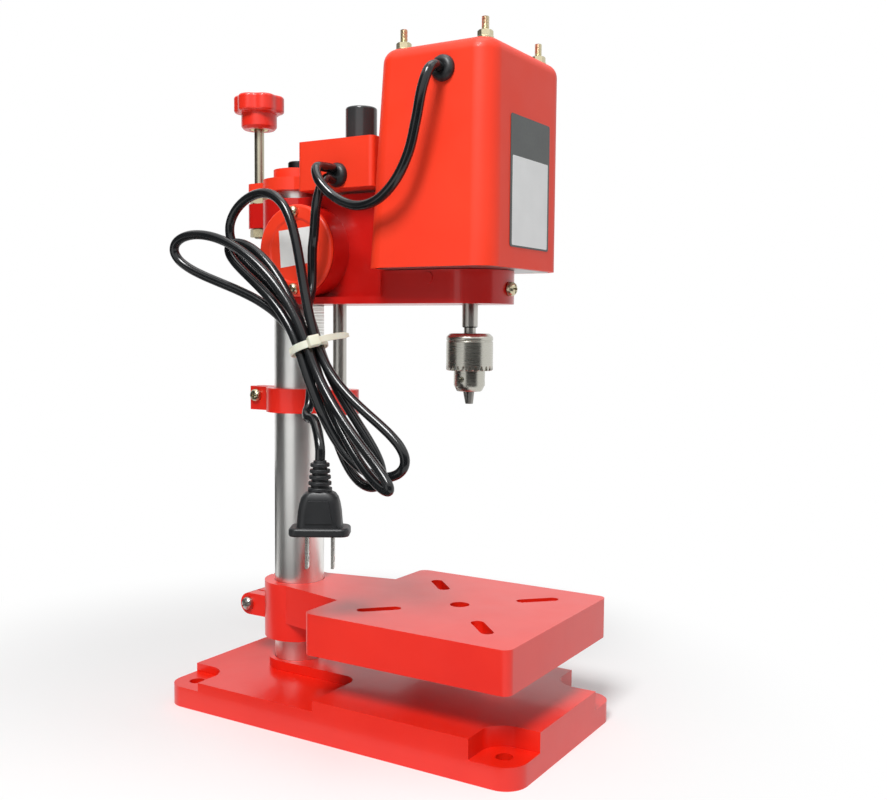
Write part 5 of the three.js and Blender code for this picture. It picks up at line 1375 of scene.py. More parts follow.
# %% Feed lever
BUSH_FLANGE = 16.0
BUSH_FLANGE_THICK = 2.0
JOURNAL = 8.0
HUB_SEAT = 6.0
HUB_RADIUS = 11.0
HUB_NECK = 9.0
HUB_START = 46.0
HUB_LENGTH = 16.0
HUB_EDGE = 1.5
LEVER_RADIUS = 4.0
LEVER_REACH = 76.0
LEVER_LEAN = 0.6
LEVER_SOCKET = 4.0
GRIP_SHAPE = [
    (0.58, 0.0), (0.63, 0.02), (0.75, 0.07), (0.86, 0.14), (0.93, 0.22), (0.98, 0.34), (1.0, 0.48),
    (0.985, 0.62),
    (0.94, 0.73), (0.86, 0.83), (0.73, 0.91), (0.52, 0.965), (0.28, 0.992), (0.0, 1.0),
]
GRIP_RADIUS = 9.0
GRIP_LENGTH = 26.0
PINION_HALF = 9.0


def on_lever(shape):
    return shifted(spun(shape, LEVER_LEAN, "X"), HUB_START + HUB_LENGTH / 2, FEED_Y, FEED_Z)


def lever_hub():
    end, neck = HUB_START + HUB_LENGTH, LEVER_BOSS_FACE + BUSH_FLANGE_THICK + 3 * GAP
    bore = HUB_SEAT + GAP
    hub = turned([
        (bore, neck), (HUB_NECK - 0.3, neck), (HUB_NECK, neck + 0.3), (HUB_NECK, HUB_START - HUB_EDGE),
        (HUB_RADIUS - 0.4, HUB_START - 0.3), (HUB_RADIUS, HUB_START + 0.4), (HUB_RADIUS, end - HUB_EDGE),
        (HUB_RADIUS - 0.4, end - 0.5), (HUB_RADIUS - HUB_EDGE, end), (bore, end), (bore, neck),
    ])
    return cut(on_feed(hub),
               on_lever(cylinder(LEVER_RADIUS + GAP, HUB_RADIUS - LEVER_SOCKET, HUB_RADIUS + PAST)))


def lever_rod():
    return on_lever(cylinder(LEVER_RADIUS, HUB_RADIUS - LEVER_SOCKET + GAP, LEVER_REACH - GAP))


def lever_grip():
    """A ball grip drawn out along the rod: narrow at the rod, full in the middle, round at the end."""
    start, bore = LEVER_REACH - GRIP_LENGTH / 2, LEVER_RADIUS + GAP
    skin = [(GRIP_RADIUS * wide, start + GRIP_LENGTH * far) for wide, far in GRIP_SHAPE]
    return on_lever(turned([(bore, start)] + skin + [(0, LEVER_REACH), (bore, LEVER_REACH), (bore, start)]))


def bush_right():
    face, bore, outer = LEVER_BOSS_FACE + GAP, JOURNAL + GAP, CROSS_BORE - GAP
    rear = PINION_HALF + 2 * GAP
    return on_feed(turned([
        (bore, rear), (outer, rear), (outer, face), (BUSH_FLANGE - 0.3, face), (BUSH_FLANGE, face + 0.3),
        (BUSH_FLANGE, face + BUSH_FLANGE_THICK - 0.3), (BUSH_FLANGE - 0.3, face + BUSH_FLANGE_THICK),
        (bore, face + BUSH_FLANGE_THICK), (bore, rear),
    ]))


finished(lever_hub(), "lever_hub_turned", "lever", black_steel, ["lever_hub"], edge=0.25)
finished(lever_rod(), "lever_rod_bar", "lever", rod_steel, ["lever_rod"], edge=0.3)
finished(lever_grip(), "lever_grip_moulding", "lever", knob_black, ["lever_grip"], smooth=50)
finished(bush_right(), "right_bush_flanged", "head", bronze, ["bush_right"], smooth=40)

# %% [markdown]
# ## Motor cover, label and sticker
# The cover is a drawn box with wide soft edges on top. The front carries a dark plate with a white panel, and
# the pot cover a small white sticker. Both are left bare.

# %% Motor cover and its studs
COVER_HALF = 42.4
COVER_REAR = -76.9
COVER_FRONT = -154.0
COVER_LOW = 256.4
COVER_TOP = 369.8
COVER_CORNER = 12.0
COVER_EDGE = 7.0
COVER_WALL = 2.5
COVER_LEAN = 8.8
COVER_GLAND = (-127.0, 355.0)
STUD_X = 30.0
STUD_PITCH = 24.5
STUD_RADIUS = 2.0
STUD_TOP = 381.0
STUD_NUT = 7.0
STUD_NUT_HEIGHT = 3.2
STUD_WASHER = 4.5
STUD_WASHER_THICK = 0.9
STUD_THREAD = 0.7
STUD_SIDES = ((-1, 1), (-1, -1), (1, -1), (1, 1))
STUDS = [(across * STUD_X, SPINDLE_Y + along * STUD_PITCH) for across, along in STUD_SIDES]


def cover_outline(inset):
    return rect(inset - COVER_HALF, COVER_HALF - inset, COVER_FRONT + inset, COVER_REAR - inset,
                COVER_CORNER - inset, 16)


def leaned_in(shape):
    """The rear of the cover leans in: its points move forward with their height and distance from the front."""
    for vertex in shape.data.vertices:
        height = (vertex.co.z - COVER_LOW) / (COVER_TOP - COVER_LOW)
        depth = (vertex.co.y - COVER_FRONT) / (COVER_REAR - COVER_FRONT)
        vertex.co.y -= COVER_LEAN * height * depth
    return shape


def motor_cover():
    shell = leaned_in(slab(cover_outline(0), COVER_LOW, COVER_TOP, COVER_EDGE, 14))
    hollow = leaned_in(
        slab(cover_outline(COVER_WALL), COVER_LOW - PAST, COVER_TOP - COVER_WALL, COVER_EDGE - COVER_WALL, 8)
    )
    return cut(
        shell, hollow,
        *[cylinder(STUD_RADIUS + GAP, COVER_TOP - COVER_EDGE, COVER_TOP + PAST, x, y, 24) for x, y in STUDS],
        along_x(hole(GLAND_NECK, -COVER_HALF, COVER_WALL - COVER_HALF, sides=48), *COVER_GLAND),
    )


def stud(x, y):
    washer = COVER_TOP + GAP
    nut = washer + STUD_WASHER_THICK
    end = nut + STUD_NUT_HEIGHT
    plain = cylinder(STUD_RADIUS, NOSE_TOP + GAP, washer, x, y, 32)
    thread = threaded(STUD_RADIUS, end - 1, STUD_TOP, STUD_THREAD, zinc_yellow, x, y, sides=28)
    disc_washer = turned([
        (0, washer), (STUD_WASHER, washer), (STUD_WASHER, nut - 0.2), (STUD_WASHER - 0.2, nut), (0, nut),
    ], x, y, 48)
    hex_nut = hexagon_nut(STUD_NUT, nut - STUD_WASHER_THICK / 2, end, 0.5, x, y, 0.4)
    filler = cylinder(STUD_RADIUS * 0.9, washer - PAST, end - 0.5, x, y, 32)
    return join(plain, disc_washer, hex_nut, filler, thread)


finished(motor_cover(), "motor_cover_shell", "head", cover_paint, ["motor_cover"], edge=0.5)
finished(gland(COVER_HALF, COVER_WALL, *COVER_GLAND), "cover_gland_rubber", "head", gland_rubber,
         ["cover_gland"], smooth=50)
for number, (x, y) in enumerate(STUDS, 1):
    finished(stud(x, y), "tie_stud_threaded_%d" % number, "head", zinc_yellow, ["tie_stud_%d" % number],
             edge=0.1, smooth=40)

# %% Label plate and sticker
PLATE_LEFT = -20.5
PLATE_RIGHT = 24.5
PLATE_LOW = 267.0
PLATE_TOP = 334.5
PLATE_THICK = 0.35
PANEL_LEFT = -18.5
PANEL_RIGHT = 22.5
PANEL_LOW = 267.9
PANEL_TOP = 313.6
PANEL_THICK = 0.12
PLATE_LIFT = 0.02
STICKER = [(-12.2, 279.4), (-36.1, 281.2), (-36.8, 261.2), (-13.6, 258.4)]


def front_plate(left, right, low, high, depth, thick, radius):
    plate = slab(rect(left, right, low, high, radius, 6), 0, thick)
    return moved(plate, Matrix(((1, 0, 0, 0), (0, 0, -1, COVER_FRONT - depth), (0, 1, 0, 0), (0, 0, 0, 1))))


def sticker():
    """Thin paper on the dished middle of the pot cover."""
    face = -(DRUM_FACE + GAP + POT_COVER - POT_RECESS)
    paper = slab([(y, z) for y, z in STICKER], 0.02, 0.14)
    return moved(paper, Matrix(((0, 0, -1, face), (1, 0, 0, 0), (0, 1, 0, 0), (0, 0, 0, 1))))


finished(front_plate(PLATE_LEFT, PLATE_RIGHT, PLATE_LOW, PLATE_TOP, PLATE_LIFT, PLATE_THICK, 1.5),
         "label_plate", "head", label_dark, edge=0.08)
finished(front_plate(PANEL_LEFT, PANEL_RIGHT, PANEL_LOW, PANEL_TOP, PLATE_LIFT + PLATE_THICK, PANEL_THICK, 0.8),
         "label_panel", "head", label_white, edge=0.04)
finished(sticker(), "pot_sticker", "head", sticker_paper, edge=0.03)

# %% [markdown]
# ## Spindle and keyed chuck
# The chuck body screws on the spindle's nose. Its toothed sleeve turns on it and drives three jaws in slanting
# bores. The teeth of the key run round the sleeve's lower rim, and the body below has three key holes.

# %% Spindle and chuck
NECK_RADIUS = 3.3
SPINDLE_STEP = 225.3
SPINDLE_RADIUS = 4.3
SPINDLE_NOSE = 214.0
BEARING_SEAT = 3.7
UPPER_SEAT = 2.8
UPPER_BEARING_Z = 349.0
SPINDLE_TOP = 357.0
CHUCK_RADIUS = 8.6
CHUCK_SHOULDER = 9.9
CHUCK_LOW = 190.3
CHUCK_TOP = 221.4
CHUCK_MOUTH = 3.6
SLEEVE_RADIUS = 12.85
SLEEVE_LOW = 201.7
SLEEVE_TOP = 222.0
SLEEVE_BEVEL = 2.4
SLEEVE_BORE = 10.3
SLEEVE_TEETH = 24
SLEEVE_TOOTH = 2.6
NOTCH_MOUTH = 0.82
NOTCH_ROOT = 0.16
KEY_HOLE = 1.6
KEY_HOLE_Z = 197.0
KEY_HOLE_DEPTH = 3.5
JAWS = 3
JAW_RADIUS = 2.1
JAW_LEAN = 0.19
JAW_TIP = 183.4
JAW_TOP = 209.0
JAW_TRAVEL = 5.0
JAW_WEDGE = 40.0
JAW_SHARE = 0.999
CHUCK_CONE = 3.4


def spindle():
    lower, upper = LOWER_BEARING_Z - GAP, UPPER_BEARING_Z - GAP
    return turned([
        (0, SPINDLE_NOSE), (NECK_RADIUS, SPINDLE_NOSE), (NECK_RADIUS, SPINDLE_STEP),
        (SPINDLE_RADIUS - 0.4, SPINDLE_STEP), (SPINDLE_RADIUS, SPINDLE_STEP + 0.4), (SPINDLE_RADIUS, lower),
        (BEARING_SEAT, lower), (BEARING_SEAT, upper), (UPPER_SEAT, upper), (UPPER_SEAT, SPINDLE_TOP),
        (0, SPINDLE_TOP),
    ], 0, SPINDLE_Y, 64)


def on_jaw(shape, number):
    shape = shifted(spun(shape, JAW_LEAN, "Y"), z=JAW_TIP)
    return shifted(spun(shape, 2 * math.pi * number / JAWS), y=SPINDLE_Y)


def chuck_body():
    low, high, shoulder = CHUCK_LOW, CHUCK_TOP, SLEEVE_LOW + PAST
    bore = NECK_RADIUS + GAP
    body = turned([
        (0, low), (CHUCK_RADIUS - 2.2, low), (CHUCK_RADIUS - 1.6, low + 0.35), (CHUCK_RADIUS, low + CHUCK_CONE),
        (CHUCK_RADIUS, shoulder), (CHUCK_SHOULDER, shoulder), (CHUCK_SHOULDER, high), (bore, high),
        (bore, SPINDLE_NOSE - GAP), (0, SPINDLE_NOSE - GAP),
    ], 0, SPINDLE_Y)
    reach = (JAW_TOP + JAW_TRAVEL + GAP - JAW_TIP) / math.cos(JAW_LEAN)
    holes = []
    for number in range(JAWS):
        holes.append(on_jaw(cylinder(JAW_RADIUS + GAP, -PAST, reach, sides=32), number))
        key = cylinder(KEY_HOLE, CHUCK_RADIUS - KEY_HOLE_DEPTH, CHUCK_RADIUS + PAST, sides=32)
        key = spun(spun(key, math.pi / 2, "Y"), 2 * math.pi * (number + 0.5) / JAWS)
        holes.append(shifted(key, 0, SPINDLE_Y, KEY_HOLE_Z))
    mouth = cylinder(CHUCK_MOUTH, low - PAST, KEY_HOLE_Z + 4 * PAST, 0, SPINDLE_Y, 48)
    return cut(body, mouth, *holes)


def chuck_jaw(number):
    length = (JAW_TOP - JAW_TIP) / math.cos(JAW_LEAN)
    rod = on_jaw(cylinder(JAW_RADIUS, 0, length, sides=48), number)
    half = math.pi / JAWS * JAW_SHARE
    edge = GAP / 2 / math.sin(half)
    flanks = [(edge + JAW_WEDGE * math.cos(turn), JAW_WEDGE * math.sin(turn)) for turn in (-half, half)]
    wedge = slab([(edge, 0), flanks[0], (2 * JAW_WEDGE, 0), flanks[1]], JAW_TIP, JAW_TOP + PAST)
    return common(rod, shifted(spun(wedge, 2 * math.pi * number / JAWS), y=SPINDLE_Y))


def sleeve_notch():
    """The space between two teeth: a wide vee that runs radially through the rim."""
    half = math.pi * SLEEVE_RADIUS / SLEEVE_TEETH
    wide, narrow = half * NOTCH_MOUTH, half * NOTCH_ROOT
    mouth, root = -SLEEVE_LOW + PAST * 0.2, -SLEEVE_LOW - SLEEVE_TOOTH
    vee = [(-wide, mouth), (-narrow, root), (narrow, root), (wide, mouth)]
    tool = slab(vee, SLEEVE_BORE + 0.9, SLEEVE_RADIUS + PAST)
    return moved(tool, Matrix(((0, 0, 1, 0), (1, 0, 0, 0), (0, -1, 0, 0), (0, 0, 0, 1))))


def chuck_sleeve():
    low, high, bevel = SLEEVE_LOW, SLEEVE_TOP, SLEEVE_BEVEL
    sleeve = turned([
        (SLEEVE_BORE, low), (SLEEVE_RADIUS - 0.9, low), (SLEEVE_RADIUS, low + 0.5),
        (SLEEVE_RADIUS, high - bevel),
        (SLEEVE_RADIUS - 0.25, high - bevel * 0.66), (SLEEVE_RADIUS - bevel * 0.7, high - 0.25),
        (SLEEVE_RADIUS - bevel, high), (SLEEVE_BORE, high), (SLEEVE_BORE, low),
    ])
    inner, outer = SLEEVE_RADIUS - 0.35, SLEEVE_RADIUS + 1
    groove = turned([
        (inner, high - 4.4), (outer, high - 4.7), (outer, high - 3.5), (inner, high - 3.8), (inner, high - 4.4),
    ])
    return shifted(cut(sleeve, ring_of(sleeve_notch(), SLEEVE_TEETH, chuck_steel), groove), y=SPINDLE_Y)


finished(spindle(), "spindle_shaft", "rotor", rod_steel, ["spindle"], edge=0.15)
finished(chuck_body(), "chuck_body_turned", "rotor", chuck_steel, ["chuck_body"], edge=0.22)
finished(chuck_sleeve(), "chuck_sleeve_toothed", "sleeve", chuck_steel, ["chuck_sleeve"], edge=0.16)
for number in range(JAWS):
    name = "chuck_jaw_%d" % (number + 1)
    finished(chuck_jaw(number), name + "_ground", "jaw_%d" % (number + 1), jaw_steel, [name],
             edge=0.12)

# %% [markdown]
# ## Table
# A hollow square plate with four slanting slots and a hole under the chuck. An arm joins it to a split collar
# whose rear ears are pinched by one domed bolt.

# %% Table
TABLE_HALF = 61.15
TABLE_REAR = -51.5
TABLE_FRONT = -177.9
TABLE_LOW = 47.2
TABLE_TOP = 70.1
TABLE_CORNER = 5.0
TABLE_EDGE = 1.7
TABLE_WALL = 5.5
TABLE_SKIN = 7.0
TABLE_COLLAR = 21.2
TABLE_COLLAR_LOW = 36.0
TABLE_ARM = 30.0
SLOT_WIDTH = 7.0
SLOT_LENGTH = 25.0
SLOT_CIRCLE = 46.0
TABLE_HOLE = 5.5
EAR_HALF = 9.0
EAR_LOW = 44.5
EAR_TOP = 58.0
EAR_REACH = 40.0
TABLE_BOLT = (33.4, 51.5)
TABLE_BOLT_RADIUS = 2.5
TABLE_DOME = 4.0
TABLE_DOME_HEIGHT = 3.4
TABLE_NUT = 8.0
TABLE_NUT_HEIGHT = 4.0
DRIVER_SLOT_TURN = 0.5
TABLE_MIDDLE = (TABLE_REAR + TABLE_FRONT) / 2


def table_slot(turn):
    half = SLOT_WIDTH / 2
    inner, outer = SLOT_CIRCLE - SLOT_LENGTH / 2 + half, SLOT_CIRCLE + SLOT_LENGTH / 2 - half
    outline = arc(outer, 0, half, -90, 90, 16) + arc(inner, 0, half, 90, 270, 16)
    return shifted(spun(slab(outline, TABLE_LOW - PAST, TABLE_TOP + PAST), turn), y=TABLE_MIDDLE)


def table_ear():
    """The pinched ears: a bar with a round end, lying across the collar's rear."""
    radius = (EAR_TOP - EAR_LOW) / 2
    middle = EAR_LOW + radius
    outline = arc(EAR_REACH - radius, middle, radius, -90, 90, 20) + [(0, EAR_TOP), (0, EAR_LOW)]
    ear = slab(outline, -EAR_HALF, EAR_HALF)
    return moved(ear, Matrix(((0, 0, 1, 0), (1, 0, 0, 0), (0, 1, 0, 0), (0, 0, 0, 1))))


def table_casting():
    inner = TABLE_HALF - TABLE_WALL
    arm_rear, arm_front = -TABLE_COLLAR * 0.28, TABLE_REAR - TABLE_EDGE
    body = join(
        slab(rect(-TABLE_HALF, TABLE_HALF, TABLE_FRONT, TABLE_REAR, TABLE_CORNER), TABLE_LOW, TABLE_TOP),
        cylinder(TABLE_COLLAR, TABLE_COLLAR_LOW, TABLE_TOP),
        slab([(-TABLE_ARM, arm_front), (TABLE_ARM, arm_front), (TABLE_COLLAR * 0.96, arm_rear),
              (-TABLE_COLLAR * 0.96, arm_rear)], TABLE_LOW, TABLE_TOP),
        table_ear(),
    )
    rib, low = TABLE_WALL / 2, TABLE_LOW - 2 * PAST
    hollow = cut(
        slab(rect(-inner, inner, TABLE_FRONT + TABLE_WALL, TABLE_REAR - TABLE_WALL, TABLE_CORNER),
             TABLE_LOW - PAST, TABLE_TOP - TABLE_SKIN),
        cylinder(TABLE_HOLE + TABLE_WALL, low, TABLE_TOP, 0, TABLE_MIDDLE),
        block(-rib, rib, TABLE_REAR - 2 * SLOT_WIDTH, TABLE_REAR, low, TABLE_TOP),
    )
    slit = CLAMP_SLOT / 2
    return cut(
        body, hollow,
        hole(COLUMN_RADIUS, TABLE_COLLAR_LOW, TABLE_TOP),
        block(-slit, slit, 0, EAR_REACH + PAST, TABLE_COLLAR_LOW - PAST, TABLE_TOP + PAST),
        cylinder(TABLE_HOLE, TABLE_LOW - PAST, TABLE_TOP + PAST, 0, TABLE_MIDDLE, 64),
        *[table_slot(math.pi * (0.25 + 0.5 * quarter)) for quarter in range(4)],
        along_x(hole(TABLE_BOLT_RADIUS, -EAR_HALF, EAR_HALF, sides=32), *TABLE_BOLT),
    )


def table_bolt():
    """Round domed head with a driver slot on the left, its shank through both ears."""
    seat = EAR_HALF + GAP
    end, dome, rise = seat + TABLE_NUT_HEIGHT + PAST, TABLE_DOME, TABLE_DOME_HEIGHT
    bolt = turned([
        (0, -end), (TABLE_BOLT_RADIUS - 0.4, -end), (TABLE_BOLT_RADIUS, -end + 0.4), (TABLE_BOLT_RADIUS, seat),
        (dome, seat), (dome, seat + rise * 0.35), (dome * 0.93, seat + rise * 0.62),
        (dome * 0.72, seat + rise * 0.84), (dome * 0.4, seat + rise * 0.97), (0, seat + rise),
    ], sides=64)
    slot = block(-0.5, 0.5, -dome - 1, dome + 1, seat + rise * 0.62, seat + rise + PAST)
    return along_x(spun(cut(bolt, spun(slot, DRIVER_SLOT_TURN)), math.pi, "Y"), *TABLE_BOLT)


def table_nut():
    seat = EAR_HALF + GAP
    return along_x(hexagon_nut(TABLE_NUT, seat, seat + TABLE_NUT_HEIGHT, TABLE_BOLT_RADIUS + GAP), *TABLE_BOLT)


finished(table_casting(), "table_plate_casting", "work_table", casting_paint, ["table"],
         edge=TABLE_EDGE)
finished(table_bolt(), "table_clamp_bolt", "clamp_bolt", rod_steel, ["table_bolt"], edge=0.12)
finished(table_nut(), "table_clamp_nut", "work_table", rod_steel, ["table_nut"], edge=0.15)

# %% [markdown]
# ## Tie and plug
# A nylon tie holds the hank; its cut tail points down and to the front. The plug has a ribbed relief, a body
# with a raised panel, a wide grip flange and two flat blades.

# %% Tie
TIE_INNER = WAIST_PITCH + CORD_DIAMETER / 2 + 3 * GAP
TIE_THICK = 1.0
TIE_WIDTH = 4.0
TIE_HEAD = 6.0
TIE_HEAD_STAND = 4.4
TIE_TURN = 4.07
TIE_TAIL = 18.0
TIE_RIBS = 46
TAIL_STEPS = 12
TAIL_DROOP = 5.5
TAIL_HALF_THICK = 0.45
TAIL_TIP = 0.85


def tie_band():
    """A flat strip bent to a ring; fine ribs on its outside catch in the lock."""
    outer, half = TIE_INNER + TIE_THICK, TIE_WIDTH / 2
    band = turned(
        [(TIE_INNER, -half), (outer, -half), (outer, half), (TIE_INNER, half), (TIE_INNER, -half)], edge=0.3,
    )
    rib = block(outer - 0.12, outer + 0.16, -0.16, 0.16, -half * 0.55, half * 0.55)
    return join(band, ring_of(rib, TIE_RIBS, tie_nylon))


def tie_lock():
    """The square lock on the ring, with the tail leaving it along the ring's tangent."""
    outer = TIE_INNER + TIE_THICK
    half_head, half_width = TIE_HEAD / 2, TIE_WIDTH * 0.7
    lock = block(TIE_INNER + GAP, outer + TIE_HEAD_STAND, -half_head, half_head, -half_width, half_width)
    break_edges(lock, 0.5)
    middle = outer + TIE_HEAD_STAND * 0.55
    tail_half = TIE_WIDTH * 0.42
    rings = []
    for step in range(TAIL_STEPS + 1):
        share = step / TAIL_STEPS
        y = half_head - 1 + (TIE_TAIL + 1) * share
        x = middle - TAIL_DROOP * share * share
        near, far = x - TAIL_HALF_THICK, x + TAIL_HALF_THICK
        narrow = tail_half * (1 if share < TAIL_TIP else 1 - (share - TAIL_TIP) * 3)
        rings.append([(near, y, -narrow), (far, y, -narrow), (far, y, narrow), (near, y, narrow)])
    return join(lock, loft(rings))


def tie():
    whole = join(tie_band(), spun(tie_lock(), TIE_TURN))
    return moved(whole, Matrix.Translation(Vector(WAIST)) @ Matrix.Rotation(-WAIST_LEAN, 4, "X"))


tie_piece = finished(tie(), "cord_tie_nylon", "frame", tie_nylon, ["cord_tie"], edge=0.1)

# %% Plug
PLUG_PLACE = (-80.0, -78.3)
PLUG_TURN = 1.026
RELIEF_TOP = 157.2
RELIEF_LOW = 141.6
RELIEF_TOP_RADIUS = 4.6
RELIEF_RADIUS = 6.2
RELIEF_RIBS = 5
RELIEF_GROOVE = 1.3
PLUG_HALF = 10.9
PLUG_THICK = 7.2
PLUG_FLANGE_TOP = 123.6
PLUG_FLANGE_HALF = 15.4
PLUG_FLANGE_THICK = 8.6
PLUG_ROUND = 0.62
PLUG_LOW = 119.2
PANEL_HALF = 7.0
PANEL_STAND = 0.7
BLADE_PITCH = 6.6
BLADE_HALF_WIDTH = 3.15
BLADE_HALF_THICK = 0.75
BLADE_LENGTH = 17.2
BLADE_SOCKET = 6.0
BLADE_EYE = 1.5
BLADE_EYE_UP = 4.4


def on_plug(shape):
    return shifted(spun(shape, -PLUG_TURN), *PLUG_PLACE)


def relief():
    """Strain relief: a tapering core with thick ribs, each a little smaller than the one below it."""
    foot, neck = RELIEF_RADIUS - RELIEF_GROOVE, RELIEF_TOP_RADIUS - RELIEF_GROOVE
    core = turned([
        (0, RELIEF_LOW - PAST), (foot, RELIEF_LOW - PAST), (foot, RELIEF_LOW), (neck, RELIEF_TOP),
        (0, RELIEF_TOP),
    ], sides=64)
    pitch = (RELIEF_TOP - RELIEF_LOW) / RELIEF_RIBS
    ribs = []
    for k in range(RELIEF_RIBS):
        radius = RELIEF_RADIUS - (RELIEF_RADIUS - RELIEF_TOP_RADIUS) * k / RELIEF_RIBS
        low, high = RELIEF_LOW + k * pitch, RELIEF_LOW + (k + 0.62) * pitch
        ribs.append(turned([(0, low), (radius, low), (radius, high), (0, high)], sides=64, edge=0.5))
    return join(core, *ribs)


def plug_shoulders():
    """The body narrows from the flange towards the relief, with round shoulders."""
    rings = []
    for out, thinner, z in (
        (0.9, 0, PLUG_FLANGE_TOP - 1), (0.5, 0, PLUG_FLANGE_TOP + 2), (0, 0, PLUG_FLANGE_TOP + 8),
        (-0.7, 0.1, RELIEF_LOW - 6), (-1.6, 0.4, RELIEF_LOW - 3), (-3.0, 1.0, RELIEF_LOW - 1),
        (-5.0, 1.7, RELIEF_LOW),
    ):
        half, thick = PLUG_HALF + out, PLUG_THICK - thinner
        rings.append([(x, y, z) for x, y in rect(-half, half, -thick, thick, thick * PLUG_ROUND, 12)])
    return loft(rings)


def plug_panel():
    """A raised panel on the front face, narrower at the top."""
    low, high = PLUG_FLANGE_TOP + 2.4, RELIEF_LOW - 4.2
    outline = [(-PANEL_HALF, low), (PANEL_HALF, low), (PANEL_HALF * 0.72, high), (-PANEL_HALF * 0.72, high)]
    panel = slab(outline, PLUG_THICK - 2, PLUG_THICK + PANEL_STAND)
    return moved(panel, Matrix(((1, 0, 0, 0), (0, 0, -1, 0), (0, 1, 0, 0), (0, 0, 0, 1))))


def blade_space(side, gap):
    x, half, wide = side * BLADE_PITCH, BLADE_HALF_THICK + gap, BLADE_HALF_WIDTH + gap
    return block(x - half, x + half, -wide, wide, PLUG_LOW - BLADE_LENGTH, PLUG_LOW + BLADE_SOCKET + gap)


def plug_body():
    half, thick = PLUG_FLANGE_HALF, PLUG_FLANGE_THICK
    outline = rect(-half, half, -thick, thick, PLUG_THICK * PLUG_ROUND, 12)
    flange = slab(outline, PLUG_LOW, PLUG_FLANGE_TOP, 1.5, 6, 0.8)
    return on_plug(cut(
        join(relief(), plug_shoulders(), flange, plug_panel()), blade_space(-1, GAP), blade_space(1, GAP),
    ))


def plug_blade(side):
    """A flat blade with a round hole near its tip."""
    eye = spun(cylinder(BLADE_EYE, -PLUG_HALF, PLUG_HALF, sides=32), math.pi / 2, "Y")
    return on_plug(cut(blade_space(side, 0), shifted(eye, z=PLUG_LOW - BLADE_LENGTH + BLADE_EYE_UP)))


plug_piece = finished(plug_body(), "plug_moulding", "frame", plug_vinyl, ["plug"], edge=0.4,
                      smooth=40)
blade_pieces = [
    finished(plug_blade(side), "plug_blade_flat_%d" % number, "frame", nickel_plate,
             ["plug_blade_%d" % number], edge=0.28)
    for number, side in ((1, -1), (2, 1))
]

# %% [markdown]
# ## Pieces inside the machine
# The motor, its bearings, the spring and the circuit board keep their CAD shape. Each gets the finish of the
# real piece. The laminated iron and the copper bars get finishes of their own.

# %% Finishes of the inner pieces
WAVE_TURN = 6.2832


def laminated(name, dark, light, roughness, sheets_per_metre):
    """Stacked iron sheets: thin lines across the axis, darker between the sheets."""
    finish = new_finish(name, roughness, metallic=0.9)
    place = node(finish, "ShaderNodeTexCoord")
    wave = node(
        finish, "ShaderNodeTexWave", bands_direction="Z", Scale=sheets_per_metre / WAVE_TURN, Distortion=0.2,
    )
    link(finish, place.outputs["Object"], wave.inputs["Vector"])
    vary_colour(finish, wave.outputs["Fac"], dark, light, 0.1, 0.6)
    vary_roughness(finish, grain(finish, 120, detail=4), roughness * 0.8, roughness * 1.2)
    add_height(finish, (wave.outputs["Fac"], 0.05))
    return finish


core_iron = laminated("core_iron", (0.10, 0.10, 0.11), (0.30, 0.30, 0.31), 0.42, 1400)
commutator_copper = laminated("commutator_copper", (0.45, 0.17, 0.08), (0.72, 0.34, 0.18), 0.30, 900)
spring_steel = metal("spring_steel", (0.10, 0.10, 0.13), (0.20, 0.20, 0.24), 0.30, 200, EVEN)
INNER = {
    "box_floor": cover_paint, "speed_regulator": board_green, "speed_shaft": aluminium,
    "clock_spring": spring_steel, "pinion_shaft": rod_steel, "bush_left": bronze, "motor_plate": plate_steel,
    "stator": core_iron, "armature": core_iron, "commutator": commutator_copper, "cooling_fan": knob_black,
    "bearing_lower": ground_steel, "bearing_upper": ground_steel, "end_bell": aluminium,
}
for name, finish in INNER.items():
    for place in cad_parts[name].material_slots:
        place.material = finish

# %% [markdown]
# ## Where the cords run
# The photo shows the mains cord from its gland to its plug, so the length is the route's own. The tie and the
# plug with its blades lie on it. The motor lead goes back into the machine at the cover's gland.


# %% [markdown]
# ## Floor and light
# A pale floor keeps the machine's soft shadow and fades to white with distance, as the photo's studio does.
# A soft key lamp stands high at the left, a wide lamp hangs overhead and a weak one lifts the front. The world
# lights the rest faintly, but mirrors as white. Dark cards stand in that white: the left faces, the column,
# the base's rim and the steel parts mirror them, as they mirror the room behind the camera in the photo.

# %% World and floor
WORLD_LEVEL = 0.10
FLOOR_RADIUS = 4.0
FLOOR_SIDES = 128
FLOOR_GREY = 0.95
FADE_START = 0.12
FADE_END = 0.34


def set_world():
    world = bpy.data.worlds.new("studio")
    world.use_nodes = True
    bpy.context.scene.world = world
    tree = world.node_tree
    back = tree.nodes["Background"]
    back.inputs["Color"].default_value = (1, 1, 1, 1)
    rays = tree.nodes.new("ShaderNodeLightPath")
    seen = maths(tree, "MAXIMUM", rays.outputs["Is Camera Ray"], rays.outputs["Is Glossy Ray"])
    seen = maths(tree, "MAXIMUM", seen, rays.outputs["Is Transmission Ray"])
    level = maths(tree, "MULTIPLY_ADD", seen, 1 - WORLD_LEVEL, WORLD_LEVEL)
    tree.links.new(level, back.inputs["Strength"])


